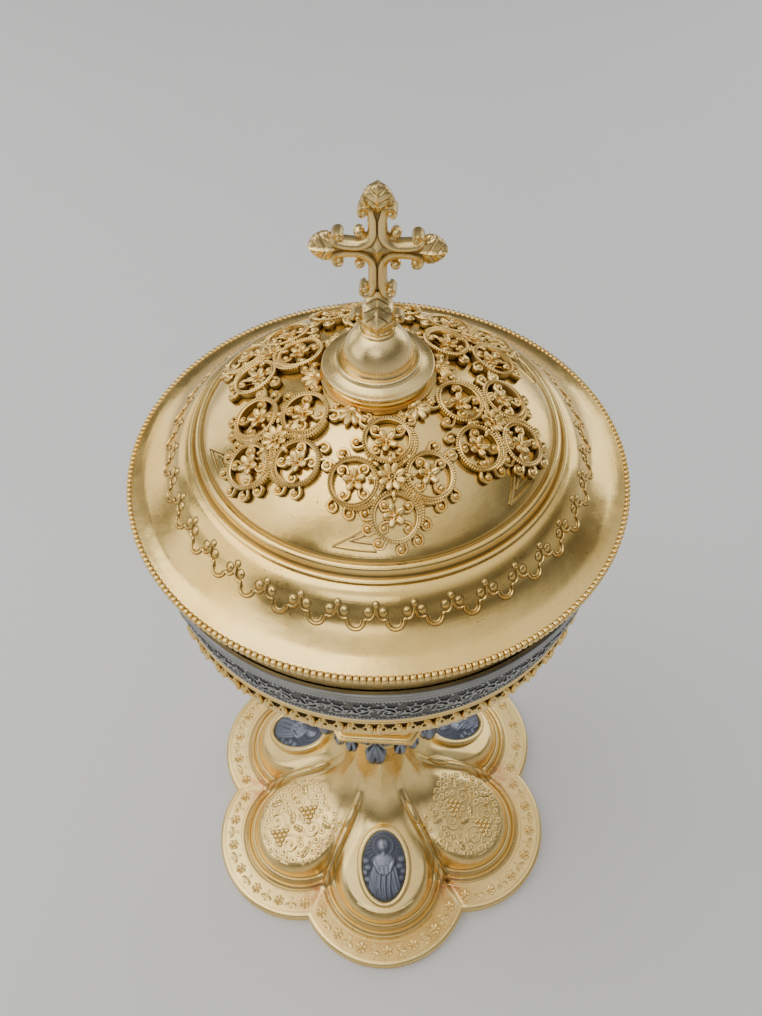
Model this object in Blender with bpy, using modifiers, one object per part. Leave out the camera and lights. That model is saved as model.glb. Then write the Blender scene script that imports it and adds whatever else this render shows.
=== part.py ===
"""Covered ciborium: a lobed foot, a stem with a knop, a bowl for hosts and a domed lid with a cross.

The model stands on the plane z = 0 with its axis on Z and its front towards -Y. Lengths are written in
millimetres and turned into metres where a mesh is made.
"""

import math

import bmesh
import bpy
from mathutils import Matrix, Vector

MM = 0.001
GAP = 0.3  # between pieces that touch

# Driving dimensions
RIM_Z = 208.0  # plane of the lid's outer edge
RIM_RADIUS = 60.4
BOWL_RADIUS = 56.2  # outside of the bowl's hemisphere
BOWL_CENTRE_Z = 197.3
BOWL_WALL = 1.0
DOME_EDGE_RADIUS = 40.3
DOME_EDGE_Z = 222.5
DOME_TOP_Z = 237.6
LID_WALL = 1.0
LOBE_COUNT = 6
LOBE_RADIUS = 33.7
LOBE_CENTRE = 37.1  # from the axis
FOOT_WALL = 1.2
FOOT_TOP_Z = 62.0
NECK_APOTHEM = 7.6
ROD_RADIUS = 3.0
ROD_BORE = 3.4
HEX_BORE = 3.9  # to the corners of a six-sided bore, so that its faces clear the rod too
KNOP_Z = 91.0  # underside of the knop's plate
KNOP_CORNER = 24.5

# How far the pieces that turn freely or screw together stand from the front, in degrees
LID_TURN = 3.5
CROSS_TURN = -6.0
KNOP_TURN = -6.0

MEDALLION_LOBES = {"front": -90.0, "right": 30.0, "left": 150.0}
MEDALLION_HALF = (9.2, 13.7)
BEZEL_WIDTH = 1.3

ROUND = 44  # steps round a large turned piece
SMALL_ROUND = 24

GILT = ("gilt", (0.83, 0.62, 0.30, 1.0), 0.28)
CAST_GILT = ("cast_gilt", (0.80, 0.58, 0.27, 1.0), 0.38)
SATIN_GILT = ("satin_gilt", (0.78, 0.64, 0.38, 1.0), 0.42)
SILVER = ("silver", (0.42, 0.43, 0.45, 1.0), 0.42)
IRON = ("screw_steel", (0.45, 0.43, 0.40, 1.0), 0.40)


# ---------------------------------------------------------------- helpers


def clear_scene():
    for obj in list(bpy.data.objects):
        bpy.data.objects.remove(obj)


def collection_named(name):
    made = bpy.data.collections.new(name)
    bpy.context.scene.collection.children.link(made)
    return made


def material_of(look):
    name, colour, roughness = look
    made = bpy.data.materials.get(name)
    if made is None:
        made = bpy.data.materials.new(name)
        made.use_nodes = True
        shader = made.node_tree.nodes["Principled BSDF"]
        shader.inputs["Base Color"].default_value = colour
        shader.inputs["Metallic"].default_value = 1.0
        shader.inputs["Roughness"].default_value = roughness
    return made


def place(obj, look):
    """Puts an object in the model's collection with its material."""
    for owner in list(obj.users_collection):
        owner.objects.unlink(obj)
    MODEL.objects.link(obj)
    obj.data.materials.clear()
    obj.data.materials.append(material_of(look))
    return obj


def object_from(name, points, edges, faces, look):
    """A mesh object from points in millimetres."""
    mesh = bpy.data.meshes.new(name)
    mesh.from_pydata([Vector(p) * MM for p in points], edges, faces)
    return place(bpy.data.objects.new(name, mesh), look)


def turned(name, outline, look, steps=ROUND):
    """A solid turned about Z from a closed outline of (radius, height). Points on the axis are left unjoined."""
    area = sum(a[0] * b[1] - b[0] * a[1] for a, b in zip(outline, outline[1:] + outline[:1]))
    if area > 0:
        outline = outline[::-1]
    count = len(outline)
    edges = [
        (i, (i + 1) % count)
        for i in range(count)
        if outline[i][0] > 0 or outline[(i + 1) % count][0] > 0
    ]
    obj = object_from(name, [(r, 0.0, z) for r, z in outline], edges, [], look)
    screw = obj.modifiers.new("turn", "SCREW")
    screw.steps = steps
    screw.render_steps = steps
    screw.use_merge_vertices = True
    screw.merge_threshold = 0.00001
    return obj


def bored(outline, bore=ROD_BORE):
    """An outline's outer points closed by a straight bore on the axis."""
    return outline + [(bore, outline[-1][1]), (bore, outline[0][1])]


def arc(centre, radius, start, end, count):
    """Points on a circle in the section plane, from one angle to the other in degrees."""
    return [
        (
            centre[0] + radius * math.cos(math.radians(start + (end - start) * i / count)),
            centre[1] + radius * math.sin(math.radians(start + (end - start) * i / count)),
        )
        for i in range(count + 1)
    ]


def smooth_through(points, count):
    """A Catmull-Rom curve through the points, with count steps between neighbours."""
    padded = [points[0]] + list(points) + [points[-1]]
    made = []
    for a, b, c, d in zip(padded, padded[1:], padded[2:], padded[3:]):
        for i in range(count):
            t = i / count
            made.append(
                tuple(
                    0.5
                    * (
                        2 * q
                        + (s - p) * t
                        + (2 * p - 5 * q + 4 * s - u) * t * t
                        + (3 * q - p - 3 * s + u) * t**3
                    )
                    for p, q, s, u in zip(a, b, c, d)
                )
            )
    return made + [tuple(points[-1])]


def between(points, x):
    """The height at x on a polyline whose points rise in x."""
    for (x0, y0), (x1, y1) in zip(points, points[1:]):
        if x <= x1:
            return y0 + (y1 - y0) * (x - x0) / (x1 - x0)
    return points[-1][1]


def turn_z(obj, degrees):
    obj.rotation_euler = (0.0, 0.0, math.radians(degrees))


def flat_solid(name, outlines, thickness, look):
    """A flat plate from closed outlines, outer first, made a mesh with its caps welded."""
    curve = bpy.data.curves.new(name, "CURVE")
    curve.dimensions = "2D"
    curve.fill_mode = "BOTH"
    curve.extrude = thickness / 2 * MM
    for outline in outlines:
        spline = curve.splines.new("POLY")
        spline.points.add(len(outline) - 1)
        for point, (x, y) in zip(spline.points, outline):
            point.co = (x * MM, y * MM, 0.0, 1.0)
        spline.use_cyclic_u = True
    guide = bpy.data.objects.new(name + "_outline", curve)
    MODEL.objects.link(guide)
    bpy.context.view_layer.update()
    graph = bpy.context.evaluated_depsgraph_get()
    mesh = bpy.data.meshes.new_from_object(guide.evaluated_get(graph))
    mesh.name = name
    bpy.data.objects.remove(guide)
    welded = bmesh.new()
    welded.from_mesh(mesh)
    bmesh.ops.remove_doubles(welded, verts=welded.verts, dist=0.00001)
    bmesh.ops.recalc_face_normals(welded, faces=welded.faces)
    welded.to_mesh(mesh)
    welded.free()
    return place(bpy.data.objects.new(name, mesh), look)


def join_cutters(obj, others, operation="UNION"):
    """Joins or cuts obj with the others by Boolean modifiers, and keeps them as hidden helpers."""
    for other in others:
        modifier = obj.modifiers.new(other.name, "BOOLEAN")
        modifier.operation = operation
        modifier.solver = "EXACT"
        modifier.object = other
        for owner in list(other.users_collection):
            owner.objects.unlink(other)
        HELPERS.objects.link(other)
        other.hide_render = True
        other.display_type = "WIRE"


# ---------------------------------------------------------------- foot


def outline_radius(angle):
    """Distance from the axis to the foot's outline of six round lobes; one lobe's middle is at -Y."""
    sector = 2 * math.pi / LOBE_COUNT
    off = (angle + math.pi / 2 + sector / 2) % sector - sector / 2
    reach = LOBE_RADIUS**2 - (LOBE_CENTRE * math.sin(off)) ** 2
    return LOBE_CENTRE * math.cos(off) + math.sqrt(reach)


def neck_radius(angle):
    """The neck is a hexagon with a face over each lobe."""
    sector = 2 * math.pi / LOBE_COUNT
    off = (angle + math.pi / 2 + sector / 2) % sector - sector / 2
    return NECK_APOTHEM / math.cos(off)


# Height of the raised field: share of the way from the neck to the border, and height
FIELD = [
    (0.0, FOOT_TOP_Z),
    (0.016, 55.0),
    (0.036, 46.0),
    (0.07, 37.0),
    (0.15, 30.0),
    (0.32, 22.5),
    (0.60, 15.5),
    (0.86, 10.5),
    (1.0, 8.8),
]
# Border and step: distance in from the outline, and height
BORDER = [(14.5, 8.8), (12.6, 8.0), (11.2, 5.9), (1.0, 5.0), (0.0, 4.2)]
BORDER_WIDTH = BORDER[0][0]
FOOT_STEPS = 72


def foot_point(angle, share, inward):
    """A point on the top of the foot, on the raised field where inward is None, or else on the border."""
    if inward is None:
        inner = neck_radius(angle)
        radius = inner + (outline_radius(angle) - BORDER_WIDTH - inner) * share
        height = between(FIELD, share)
    else:
        radius = outline_radius(angle) - inward
        height = between(sorted(BORDER), inward)
    return (radius * math.cos(angle), radius * math.sin(angle), height)


def make_foot_shell():
    """A raised shell lofted from the hexagonal neck to the lobed edge, open below."""
    rows = [(share, None) for share, _ in FIELD[:-1]] + [(1.0, inward) for inward, _ in BORDER]
    angles = [2 * math.pi * i / FOOT_STEPS for i in range(FOOT_STEPS)]
    points = [foot_point(angle, share, inward) for share, inward in rows for angle in angles]
    faces = []
    for row in range(len(rows) - 1):
        for i in range(FOOT_STEPS):
            j = (i + 1) % FOOT_STEPS
            here, below = row * FOOT_STEPS, (row + 1) * FOOT_STEPS
            faces.append((here + i, below + i, below + j, here + j))
    shell = object_from("foot_shell", points, [], faces, GILT)
    wall = shell.modifiers.new("wall", "SOLIDIFY")
    wall.thickness = FOOT_WALL * MM
    wall.offset = -1.0
    return shell


def lobed_outline(inward):
    """The foot's outline moved in by a radial distance, as (x, y)."""
    made = []
    for i in range(FOOT_STEPS):
        angle = 2 * math.pi * i / FOOT_STEPS
        radius = outline_radius(angle) - inward
        made.append((radius * math.cos(angle), radius * math.sin(angle)))
    return made


BASE_BAND_HEIGHT = 2.6
BASE_BAND_WIDTH = 3.2


def make_foot_base_band():
    """The lobed band under the border, which the piece stands on."""
    band = flat_solid(
        "foot_base_band",
        [lobed_outline(0.2), lobed_outline(0.2 + BASE_BAND_WIDTH)],
        BASE_BAND_HEIGHT,
        GILT,
    )
    band.location = (0.0, 0.0, BASE_BAND_HEIGHT / 2 * MM)
    return band


def oval(half_x, half_y, count=24):
    return [
        (half_x * math.cos(2 * math.pi * i / count), half_y * math.sin(2 * math.pi * i / count))
        for i in range(count)
    ]


MEDALLION_RADIUS = 38.0  # from the axis to the medallion's middle
MEDALLION_Z = 17.0
MEDALLION_SLOPE = 25.0  # degrees, down and out


def on_lobe(obj, azimuth, lift=0.0):
    """Places an object made flat at the origin, long axis on Y, on the slope of the lobe at an azimuth."""
    slope = Matrix.Rotation(math.radians(MEDALLION_SLOPE), 4, "X")
    seat = Matrix.Translation(Vector((0.0, -MEDALLION_RADIUS, MEDALLION_Z)) * MM)
    turn = Matrix.Rotation(math.radians(azimuth + 90.0), 4, "Z")
    raised = Matrix.Translation((0.0, 0.0, lift * MM))
    obj.matrix_world = turn @ seat @ slope @ raised


def make_medallion(place_name, azimuth):
    """An oval silver plaque with a cushioned face, in its gilt bezel."""
    half_x, half_y = MEDALLION_HALF
    layers = [(1.0, 0.0), (1.0, 1.4), (0.86, 2.3), (0.5, 2.9)]
    count = 20
    points = [
        (x * share, y * share, height) for share, height in layers for x, y in oval(half_x, half_y, count)
    ]
    faces = [tuple(reversed(range(count))), tuple(range((len(layers) - 1) * count, len(layers) * count))]
    for row in range(len(layers) - 1):
        for i in range(count):
            j = (i + 1) % count
            faces.append((row * count + i, row * count + j, (row + 1) * count + j, (row + 1) * count + i))
    plaque = object_from(f"medallion_{place_name}", points, [], faces, SILVER)
    on_lobe(plaque, azimuth)
    inner = oval(half_x + GAP, half_y + GAP)
    outer = oval(half_x + GAP + BEZEL_WIDTH, half_y + GAP + BEZEL_WIDTH)
    bezel = flat_solid(f"medallion_bezel_{place_name}", [outer, inner], 2.2, GILT)
    on_lobe(bezel, azimuth, 1.1)


# ---------------------------------------------------------------- stem and knop

STEM_CORNER = 8.4
STEM_LOWER_TOP = 75.7
COLLAR_Z = 128.0  # underside of the bowl's collar


def hexed(name, outline, look, turn=0.0):
    """A six-sided piece with a face towards -Y: the outline's radii reach to its corners."""
    made = turned(name, outline, look, steps=6)
    turn_z(made, turn)
    return made


def make_stem():
    foot_collar = [(9.0, 66.0), (11.0, 65.4), (11.6, 64.4), (11.0, 63.2), (9.6, FOOT_TOP_Z + GAP)]
    turned("stem_foot_collar", bored(foot_collar), GILT, SMALL_ROUND)
    lower = [(STEM_CORNER, STEM_LOWER_TOP), (STEM_CORNER, 66.0 + GAP)]
    hexed("stem_lower", bored(lower, HEX_BORE), GILT, KNOP_TURN)
    upper = [(STEM_CORNER, COLLAR_Z - GAP), (STEM_CORNER, 108.0 + GAP)]
    hexed("stem_upper", bored(upper, HEX_BORE), GILT, KNOP_TURN)
    bowl_collar = [
        (8.2, 135.6),
        (12.5, 135.2),
        (13.6, 133.8),
        (12.6, 132.4),
        (10.6, 131.4),
        (10.2, 129.8),
        (11.4, 129.0),
        (9.4, COLLAR_Z),
    ]
    turned("bowl_collar", bored(bowl_collar), GILT, SMALL_ROUND)


def make_knop():
    """Two six-sided shells that meet at a plate with a beaded edge."""
    plate_top = KNOP_Z + 2.4
    plate = [
        (KNOP_CORNER - 1.6, plate_top),
        (KNOP_CORNER, plate_top - 0.9),
        (KNOP_CORNER, KNOP_Z + 0.7),
        (KNOP_CORNER - 1.2, KNOP_Z),
    ]
    hexed("knop_plate", bored(plate, HEX_BORE), GILT, KNOP_TURN)
    upper_foot = plate_top + GAP
    upper = [
        (9.6, 108.0),
        (10.2, 104.5),
        (12.6, 100.6),
        (16.4, 98.0),
        (20.4, 96.4),
        (21.8, upper_foot),
        (20.4, upper_foot),
        (18.4, 95.0),
        (14.6, 96.9),
        (9.4, 101.6),
        (HEX_BORE, 106.4),
        (HEX_BORE, 108.0),
    ]
    hexed("knop_upper", upper, GILT, KNOP_TURN)
    lower_top = KNOP_Z - GAP
    lower = [
        (21.0, lower_top),
        (20.6, 88.6),
        (17.4, 84.4),
        (12.8, 80.4),
        (10.0, 76.0),
        (HEX_BORE, 76.0),
        (HEX_BORE, 77.4),
        (9.0, 77.6),
        (11.8, 81.6),
        (16.2, 85.6),
        (19.2, 89.0),
        (19.6, lower_top),
    ]
    hexed("knop_lower", lower, GILT, KNOP_TURN)


def ball(name, centre, radii, look):
    bpy.ops.mesh.primitive_uv_sphere_add(segments=10, ring_count=6, radius=MM)
    made = bpy.context.object
    made.name = name
    made.scale = radii
    made.location = Vector(centre) * MM
    return place(made, look)


CROCKET_SIDE_X = 7.6


def make_crockets():
    """A silver bud with a smaller leaf tip on each side, on every face of the knop below its plate."""
    for number in range(LOBE_COUNT):
        turn = Matrix.Rotation(math.radians(60.0 * number + KNOP_TURN), 4, "Z")
        bud = ball(f"knop_crocket_{number + 1}", (0.0, -22.4, 86.9), (3.2, 3.4, 3.6), SILVER)
        sides = []
        for side in (-1, 1):
            name = f"crocket_{number + 1}_tip_{side + 2}"
            sides.append(ball(name, (side * CROCKET_SIDE_X, -20.4, 88.0), (1.5, 1.8, 2.3), SILVER))
        bpy.ops.mesh.primitive_cube_add(size=MM)
        bar = bpy.context.object
        bar.name = f"crocket_{number + 1}_bar"
        bar.scale = (2 * CROCKET_SIDE_X, 1.3, 1.8)
        bar.location = Vector((0.0, -20.0, 88.6)) * MM
        place(bar, SILVER)
        for piece in [bud, bar] + sides:
            bpy.context.view_layer.update()
            piece.matrix_world = turn @ piece.matrix_world
        join_cutters(bud, [bar] + sides)


def make_tie_rod():
    """The rod that holds bowl, knop and foot together, with the nut and washer inside the foot."""
    turned("tie_rod", [(0.0, 138.7), (ROD_RADIUS, 138.7), (ROD_RADIUS, 24.0), (0.0, 24.0)], IRON, 16)
    turned("tie_washer", bored([(11.3, 32.4), (11.3, 30.9)]), IRON, SMALL_ROUND)
    hexed("tie_nut", bored([(6.2, 30.6), (6.2, 25.6)], HEX_BORE), IRON)


# ---------------------------------------------------------------- bowl


def make_bowl():
    """The cup: a hemisphere with a straight lip, and a boss below that takes the tie rod."""
    centre = (0.0, BOWL_CENTRE_Z)
    outer = arc(centre, BOWL_RADIUS, 0.0, -81.0, 11)
    inner = arc(centre, BOWL_RADIUS - BOWL_WALL, -90.0, 0.0, 11)
    inner[0] = (0.0, inner[0][1])
    lip_top = RIM_Z - 1.2
    lip = [
        (BOWL_RADIUS - BOWL_WALL, lip_top),
        (BOWL_RADIUS + 1.2, lip_top),
        (BOWL_RADIUS + 1.4, lip_top - 1.0),
        (BOWL_RADIUS + 0.4, lip_top - 2.4),
    ]
    boss_z = 135.9
    boss = [(7.6, 139.6), (7.6, boss_z), (ROD_BORE, boss_z), (ROD_BORE, 139.0), (0.0, 139.0)]
    turned("bowl_cup", inner + lip + outer + boss, GILT)


def ring_on_bowl(name, outer, look):
    """A ring round the bowl: its inner side follows the hemisphere with a small gap."""
    high, low = outer[0][1], outer[-1][1]
    inner = []
    for share in (0.0, 0.25, 0.5, 0.75, 1.0):
        z = low + (high - low) * share
        inner.append((math.sqrt((BOWL_RADIUS + GAP) ** 2 - (z - BOWL_CENTRE_Z) ** 2), z))
    turned(name, outer + inner, look)


def make_bowl_rings():
    band_low = 181.0
    band = [(57.6, BOWL_CENTRE_Z), (57.3, 193.0), (56.6, 187.0), (55.4, band_low)]
    ring_on_bowl("bowl_band", band, SILVER)
    gallery = [
        (55.5, band_low - GAP),
        (55.6, 179.8),
        (55.1, 178.2),
        (55.9, 176.4),
        (55.0, 174.6),
        (54.7, 172.2),
        (53.5, 170.2),
        (51.5, 169.8),
    ]
    ring_on_bowl("bowl_gallery", gallery, CAST_GILT)


# ---------------------------------------------------------------- lid

DOME_SPHERE = (DOME_EDGE_RADIUS**2 + (DOME_TOP_Z - DOME_EDGE_Z) ** 2) / (2 * (DOME_TOP_Z - DOME_EDGE_Z))


def dome_height(radius):
    """Height of the dome's outside at a distance from the axis."""
    return DOME_TOP_Z - DOME_SPHERE + math.sqrt(DOME_SPHERE**2 - radius**2)


def make_lid_shell():
    """Spun lid: a dome, a bead and groove round it, and an ogee flange."""
    flange = smooth_through([(43.7, 219.2), (46.6, 217.4), (50.2, 213.2), (54.6, 210.4), (59.0, 209.2)], 2)
    mouldings = [(DOME_EDGE_RADIUS, DOME_EDGE_Z), (41.4, 222.2), (41.8, 221.0), (41.3, 219.9), (43.0, 219.5)]
    bore = 2.6
    dome = [(r, dome_height(r)) for r in (bore, 10.0, 18.0, 25.0, 31.5, 36.5)]
    outside = dome + mouldings + flange + [(59.0, 208.1)]
    inside = [
        (54.4, 209.2),
        (50.0, 211.8),
        (46.4, 215.8),
        (43.4, 218.2),
        (40.6, 218.9),
        (39.6, 221.8),
    ]
    under_dome = [(r, dome_height(r) - LID_WALL) for r in (35.8, 31.0, 24.6, 17.6, 9.8, bore)]
    turned("lid_shell", outside + inside + under_dome, GILT)


def make_lid_rings():
    rim = [
        (59.4, RIM_Z + 1.5),
        (60.1, RIM_Z + 1.4),
        (RIM_RADIUS, RIM_Z + 0.5),
        (60.1, RIM_Z - 0.4),
        (59.4, RIM_Z - 0.5),
    ]
    turned("lid_rim", rim, CAST_GILT)
    bezel_top = 208.9
    bezel = [(54.4, bezel_top), (54.4, 200.6), (53.8, 200.0), (53.4, 200.6), (53.4, bezel_top)]
    turned("lid_bezel", bezel, GILT)


def wrap_on_dome(obj, distance, azimuth, lift):
    """Bends a flat plate, made in XY round the origin, onto the dome: its -Y points down the dome."""
    turn = Matrix.Rotation(math.radians(azimuth + 90.0), 4, "Z")
    for vertex in obj.data.vertices:
        x, y, z = vertex.co / MM
        along = distance - y
        reach = math.hypot(x, along)
        tilt = reach / DOME_SPHERE
        radius = (DOME_SPHERE + lift + z) * math.sin(tilt)
        height = DOME_TOP_Z - DOME_SPHERE + (DOME_SPHERE + lift + z) * math.cos(tilt)
        flat = Vector((x, -along, 0.0)) / reach * radius
        vertex.co = turn @ (Vector((flat.x, flat.y, height)) * MM)


PANEL_DISTANCE = 27.2  # along the dome, from its top to a panel's rosette
ROUNDEL_OFFSET = 8.1
ROUNDEL_RADIUS = 5.1
ROUNDEL_HOLE = 3.9
PANEL_THICKNESS = 1.4


def panel_outline():
    """Four roundels about a rosette, as one outline round the origin."""
    widest = math.asin(ROUNDEL_RADIUS / ROUNDEL_OFFSET) * 0.98
    made = []
    for quarter in range(4):
        middle = quarter * math.pi / 2
        for i in range(9):
            off = widest * (i / 4 - 1)
            reach = ROUNDEL_OFFSET * math.cos(off)
            reach += math.sqrt(ROUNDEL_RADIUS**2 - (ROUNDEL_OFFSET * math.sin(off)) ** 2)
            made.append((reach * math.cos(middle + off), reach * math.sin(middle + off)))
        valley = middle + math.pi / 4
        made.append((4.4 * math.cos(valley), 4.4 * math.sin(valley)))
    return made


def make_panels():
    for number in range(LOBE_COUNT):
        holes = []
        for quarter in range(4):
            x = ROUNDEL_OFFSET * math.cos(quarter * math.pi / 2)
            y = ROUNDEL_OFFSET * math.sin(quarter * math.pi / 2)
            holes.append([(x + px, y + py) for px, py in oval(ROUNDEL_HOLE, ROUNDEL_HOLE, 10)])
        name = f"filigree_panel_{number + 1}"
        panel = flat_solid(name, [panel_outline()] + holes, PANEL_THICKNESS, CAST_GILT)
        lift = GAP + PANEL_THICKNESS / 2
        wrap_on_dome(panel, PANEL_DISTANCE, -90.0 + LID_TURN + 60.0 * number, lift)


PALMETTE_COUNT = 6
PALMETTE_LENGTH = 17.0


def palmette_reach(angle):
    """The plate's outline: six round leaves, with the panels' places between them."""
    off = (math.degrees(angle) + 30.0) % 60.0 - 30.0
    leaf = max(0.0, 1.0 - (off / 15.0) ** 2)
    return 12.0 + (PALMETTE_LENGTH - 12.0) * math.sqrt(leaf)


def make_palmette_plate():
    """A star of six palmettes that shows round the finial's ring, between the panels."""
    count = 48
    hole, thickness = 2.8, 0.8
    shares = (0.0, 0.3, 0.6, 1.0)
    points = []
    for level in (0.0, thickness):
        for share in shares:
            for i in range(count):
                angle = 2 * math.pi * i / count
                reach = hole + (palmette_reach(angle) - hole) * share
                points.append((reach * math.cos(angle), reach * math.sin(angle), level))
    rings = len(shares)
    faces = []
    for row in range(2 * rings):
        # up the underside from the hole, round the rim and back along the top
        here = row if row < rings else 3 * rings - 1 - row
        following = (row + 1) % (2 * rings)
        after = following if following < rings else 3 * rings - 1 - following
        for i in range(count):
            j = (i + 1) % count
            faces.append((here * count + i, here * count + j, after * count + j, after * count + i))
    plate = object_from("palmette_plate", points, [], faces, CAST_GILT)
    wrap_on_dome(plate, 0.0, -90.0 + LID_TURN, GAP)


def make_finial():
    ring_foot = dome_height(11.6) + 1.6
    ring_top = 239.2
    ring = [(11.0, ring_top), (11.6, ring_top - 0.8), (11.2, ring_foot + 0.6), (11.6, ring_foot)]
    turned("finial_ring", ring + [(9.4, ring_foot + 0.4), (9.4, ring_top)], GILT, SMALL_ROUND)
    base_foot = ring_top + GAP
    bell = arc((0.0, 242.4), 7.4, 0.0, 58.0, 4)
    base = [(12.2, base_foot), (12.2, 240.2), (9.6, 240.9), (8.7, 241.4), (7.9, 241.9)]
    top = [(3.6, 248.9), (3.6, 249.6)]
    stud_bore = 1.8
    base += bell[:-1] + top + [(stud_bore, 249.6), (stud_bore, base_foot)]
    turned("finial_base", base, SATIN_GILT, 32)
    stud_top, stud_foot = 249.3, 229.6
    turned("finial_stud", [(0.0, stud_top), (1.5, stud_top), (1.5, stud_foot), (0.0, stud_foot)], IRON, 12)
    nut_top = dome_height(2.6) - LID_WALL - GAP
    hexed("finial_nut", bored([(5.2, nut_top), (5.2, nut_top - 3.6)], 1.8), IRON)


CROSS_Z = 268.8  # height of the arms
CROSS_FOOT_Z = 250.0
CROSS_TOP_Z = 283.2
CROSS_HALF_WIDTH = 13.4
CROSS_THICKNESS = 3.6


def arm_outline(length):
    """One side of an arm that points along +X, from the bud in its corner outwards: (distance, half width)."""
    leaf = length - 5.0
    return [
        (4.1, 4.1),
        (4.5, 3.1),
        (4.3, 2.2),
        (4.7, 1.8),
        (leaf - 2.6, 1.8),
        (leaf - 2.2, 3.8),
        (leaf + 0.2, 4.2),
        (leaf + 0.6, 2.6),
        (leaf + 2.6, 2.3),
        (length - 0.8, 1.0),
    ]


def make_cross():
    """A flat cross with buds in its corners, and a volute and a leaf at each arm's end."""
    reaches = [
        CROSS_HALF_WIDTH,
        CROSS_TOP_Z - CROSS_Z,
        CROSS_HALF_WIDTH,
        CROSS_Z - CROSS_FOOT_Z,
    ]
    outline = []
    for quarter, reach in enumerate(reaches):
        side = arm_outline(reach)
        points = [(x, -y) for x, y in side[1:]] + [(reach, 0.0)] + [(x, y) for x, y in reversed(side)]
        turn = Matrix.Rotation(quarter * math.pi / 2, 2)
        outline += [tuple(turn @ Vector(p)) for p in points]
    cross = flat_solid("cross", [outline], CROSS_THICKNESS, CAST_GILT)
    upright = Matrix.Rotation(math.radians(90.0), 4, "X")
    turn = Matrix.Rotation(math.radians(CROSS_TURN), 4, "Z")
    cross.matrix_world = turn @ Matrix.Translation((0.0, 0.0, CROSS_Z * MM)) @ upright


# ---------------------------------------------------------------- the whole

clear_scene()
MODEL = collection_named("ciborium")
HELPERS = collection_named("helpers")

make_foot_shell()
make_foot_base_band()
for lobe, lobe_azimuth in MEDALLION_LOBES.items():
    make_medallion(lobe, lobe_azimuth)
make_stem()
make_knop()
make_crockets()
make_tie_rod()
make_bowl()
make_bowl_rings()
make_lid_shell()
make_lid_rings()
make_panels()
make_palmette_plate()
make_finial()
make_cross()
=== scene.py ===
"""Looks of a covered ciborium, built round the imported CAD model.

Lengths are in millimetres in the shape code and turned into metres where a mesh is made. The axis is Z,
the front lobe of the foot faces -Y, and the foot stands on z = 0.
"""

import math

import bpy
import numpy as np
from mathutils import Matrix, Vector


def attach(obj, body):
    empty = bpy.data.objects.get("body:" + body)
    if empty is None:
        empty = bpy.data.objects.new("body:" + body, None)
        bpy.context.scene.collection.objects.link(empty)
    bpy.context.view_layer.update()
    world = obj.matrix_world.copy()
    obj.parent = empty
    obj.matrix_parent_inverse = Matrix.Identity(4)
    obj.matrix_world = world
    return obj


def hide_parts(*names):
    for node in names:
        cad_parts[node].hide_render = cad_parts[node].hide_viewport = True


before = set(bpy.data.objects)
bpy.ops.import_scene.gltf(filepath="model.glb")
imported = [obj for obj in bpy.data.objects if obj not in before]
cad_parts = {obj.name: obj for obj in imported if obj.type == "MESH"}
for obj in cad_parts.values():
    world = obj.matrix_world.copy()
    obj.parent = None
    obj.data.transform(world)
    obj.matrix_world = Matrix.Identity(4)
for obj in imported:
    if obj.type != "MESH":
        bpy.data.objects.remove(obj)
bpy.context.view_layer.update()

MM = 0.001
TAU = 2 * math.pi

# Sizes shared with the CAD model
RIM_Z = 208.0
BOWL_RADIUS, BOWL_Z, BOWL_WALL = 56.2, 197.3, 1.0
DOME_EDGE_RADIUS, DOME_EDGE_Z, DOME_TOP_Z = 40.3, 222.5, 237.6
DOME_SPHERE = (DOME_EDGE_RADIUS**2 + (DOME_TOP_Z - DOME_EDGE_Z) ** 2) / (2 * (DOME_TOP_Z - DOME_EDGE_Z))
LOBES, LOBE_RADIUS, LOBE_CENTRE = 6, 33.7, 37.1
LOBE_STEP = 60.0  # degrees from one lobe, panel or side to the next
FOOT_WALL, FOOT_TOP_Z, NECK_APOTHEM = 1.2, 62.0, 7.6
KNOP_Z, ROD_BORE, SHELL_BORE = 91.0, 3.4, 3.9
LID_TURN, CROSS_TURN, KNOP_TURN = 3.5, -6.0, -6.0
MEDALLION_LOBES = {"front": -90.0, "right": 30.0, "left": 150.0}
MEDALLION_HALF = (9.2, 13.7)
MEDALLION_RADIUS, MEDALLION_Z, MEDALLION_SLOPE = 38.0, 17.0, 25.0
PANEL_DISTANCE, ROUNDEL_OFFSET = 27.2, 8.1
CROSS_Z, CROSS_TOP_Z, CROSS_HALF_WIDTH, CROSS_THICKNESS = 268.8, 283.2, 13.4, 3.6


# ---------------------------------------------------------------- shapes


def polar(radius, angle, z=0.0):
    """Points at a radius and an angle about Z, for numbers or arrays of them."""
    return np.stack(np.broadcast_arrays(radius * np.cos(angle), radius * np.sin(angle), z), -1)


def around(count):
    return TAU * np.arange(count) / count


def circle(radius, steps):
    return polar(radius, around(steps))


def at_height(path, z):
    """A flat path of (x, y) with a height added."""
    return np.column_stack([path, np.full(len(path), z)])


def unit(rows):
    return rows / (np.linalg.norm(rows, axis=1, keepdims=True) + 1e-12)


def spin(angle):
    """The matrix that turns by an angle about Z."""
    c, s = math.cos(angle), math.sin(angle)
    return np.array([[c, -s, 0.0], [s, c, 0.0], [0.0, 0.0, 1.0]])


def turned_by(angle, centre=(0.0, 0.0)):
    """A change for Build.join that turns points about Z by an angle and moves them to centre."""
    return lambda points: points @ spin(angle).T + (*centre, 0.0)


def curve_through(points, count):
    """A Catmull-Rom curve through points, with count steps between neighbours."""
    points = np.asarray(points, float)
    padded = np.vstack([2 * points[0] - points[1], points, 2 * points[-1] - points[-2]])
    t = np.arange(count)[:, None] / count
    made = [
        0.5 * (2 * b + (c - a) * t + (2 * a - 5 * b + 4 * c - d) * t**2 + (3 * b - a - 3 * c + d) * t**3)
        for a, b, c, d in zip(padded, padded[1:], padded[2:], padded[3:])
    ]
    return np.vstack(made + [points[-1:]])


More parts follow.
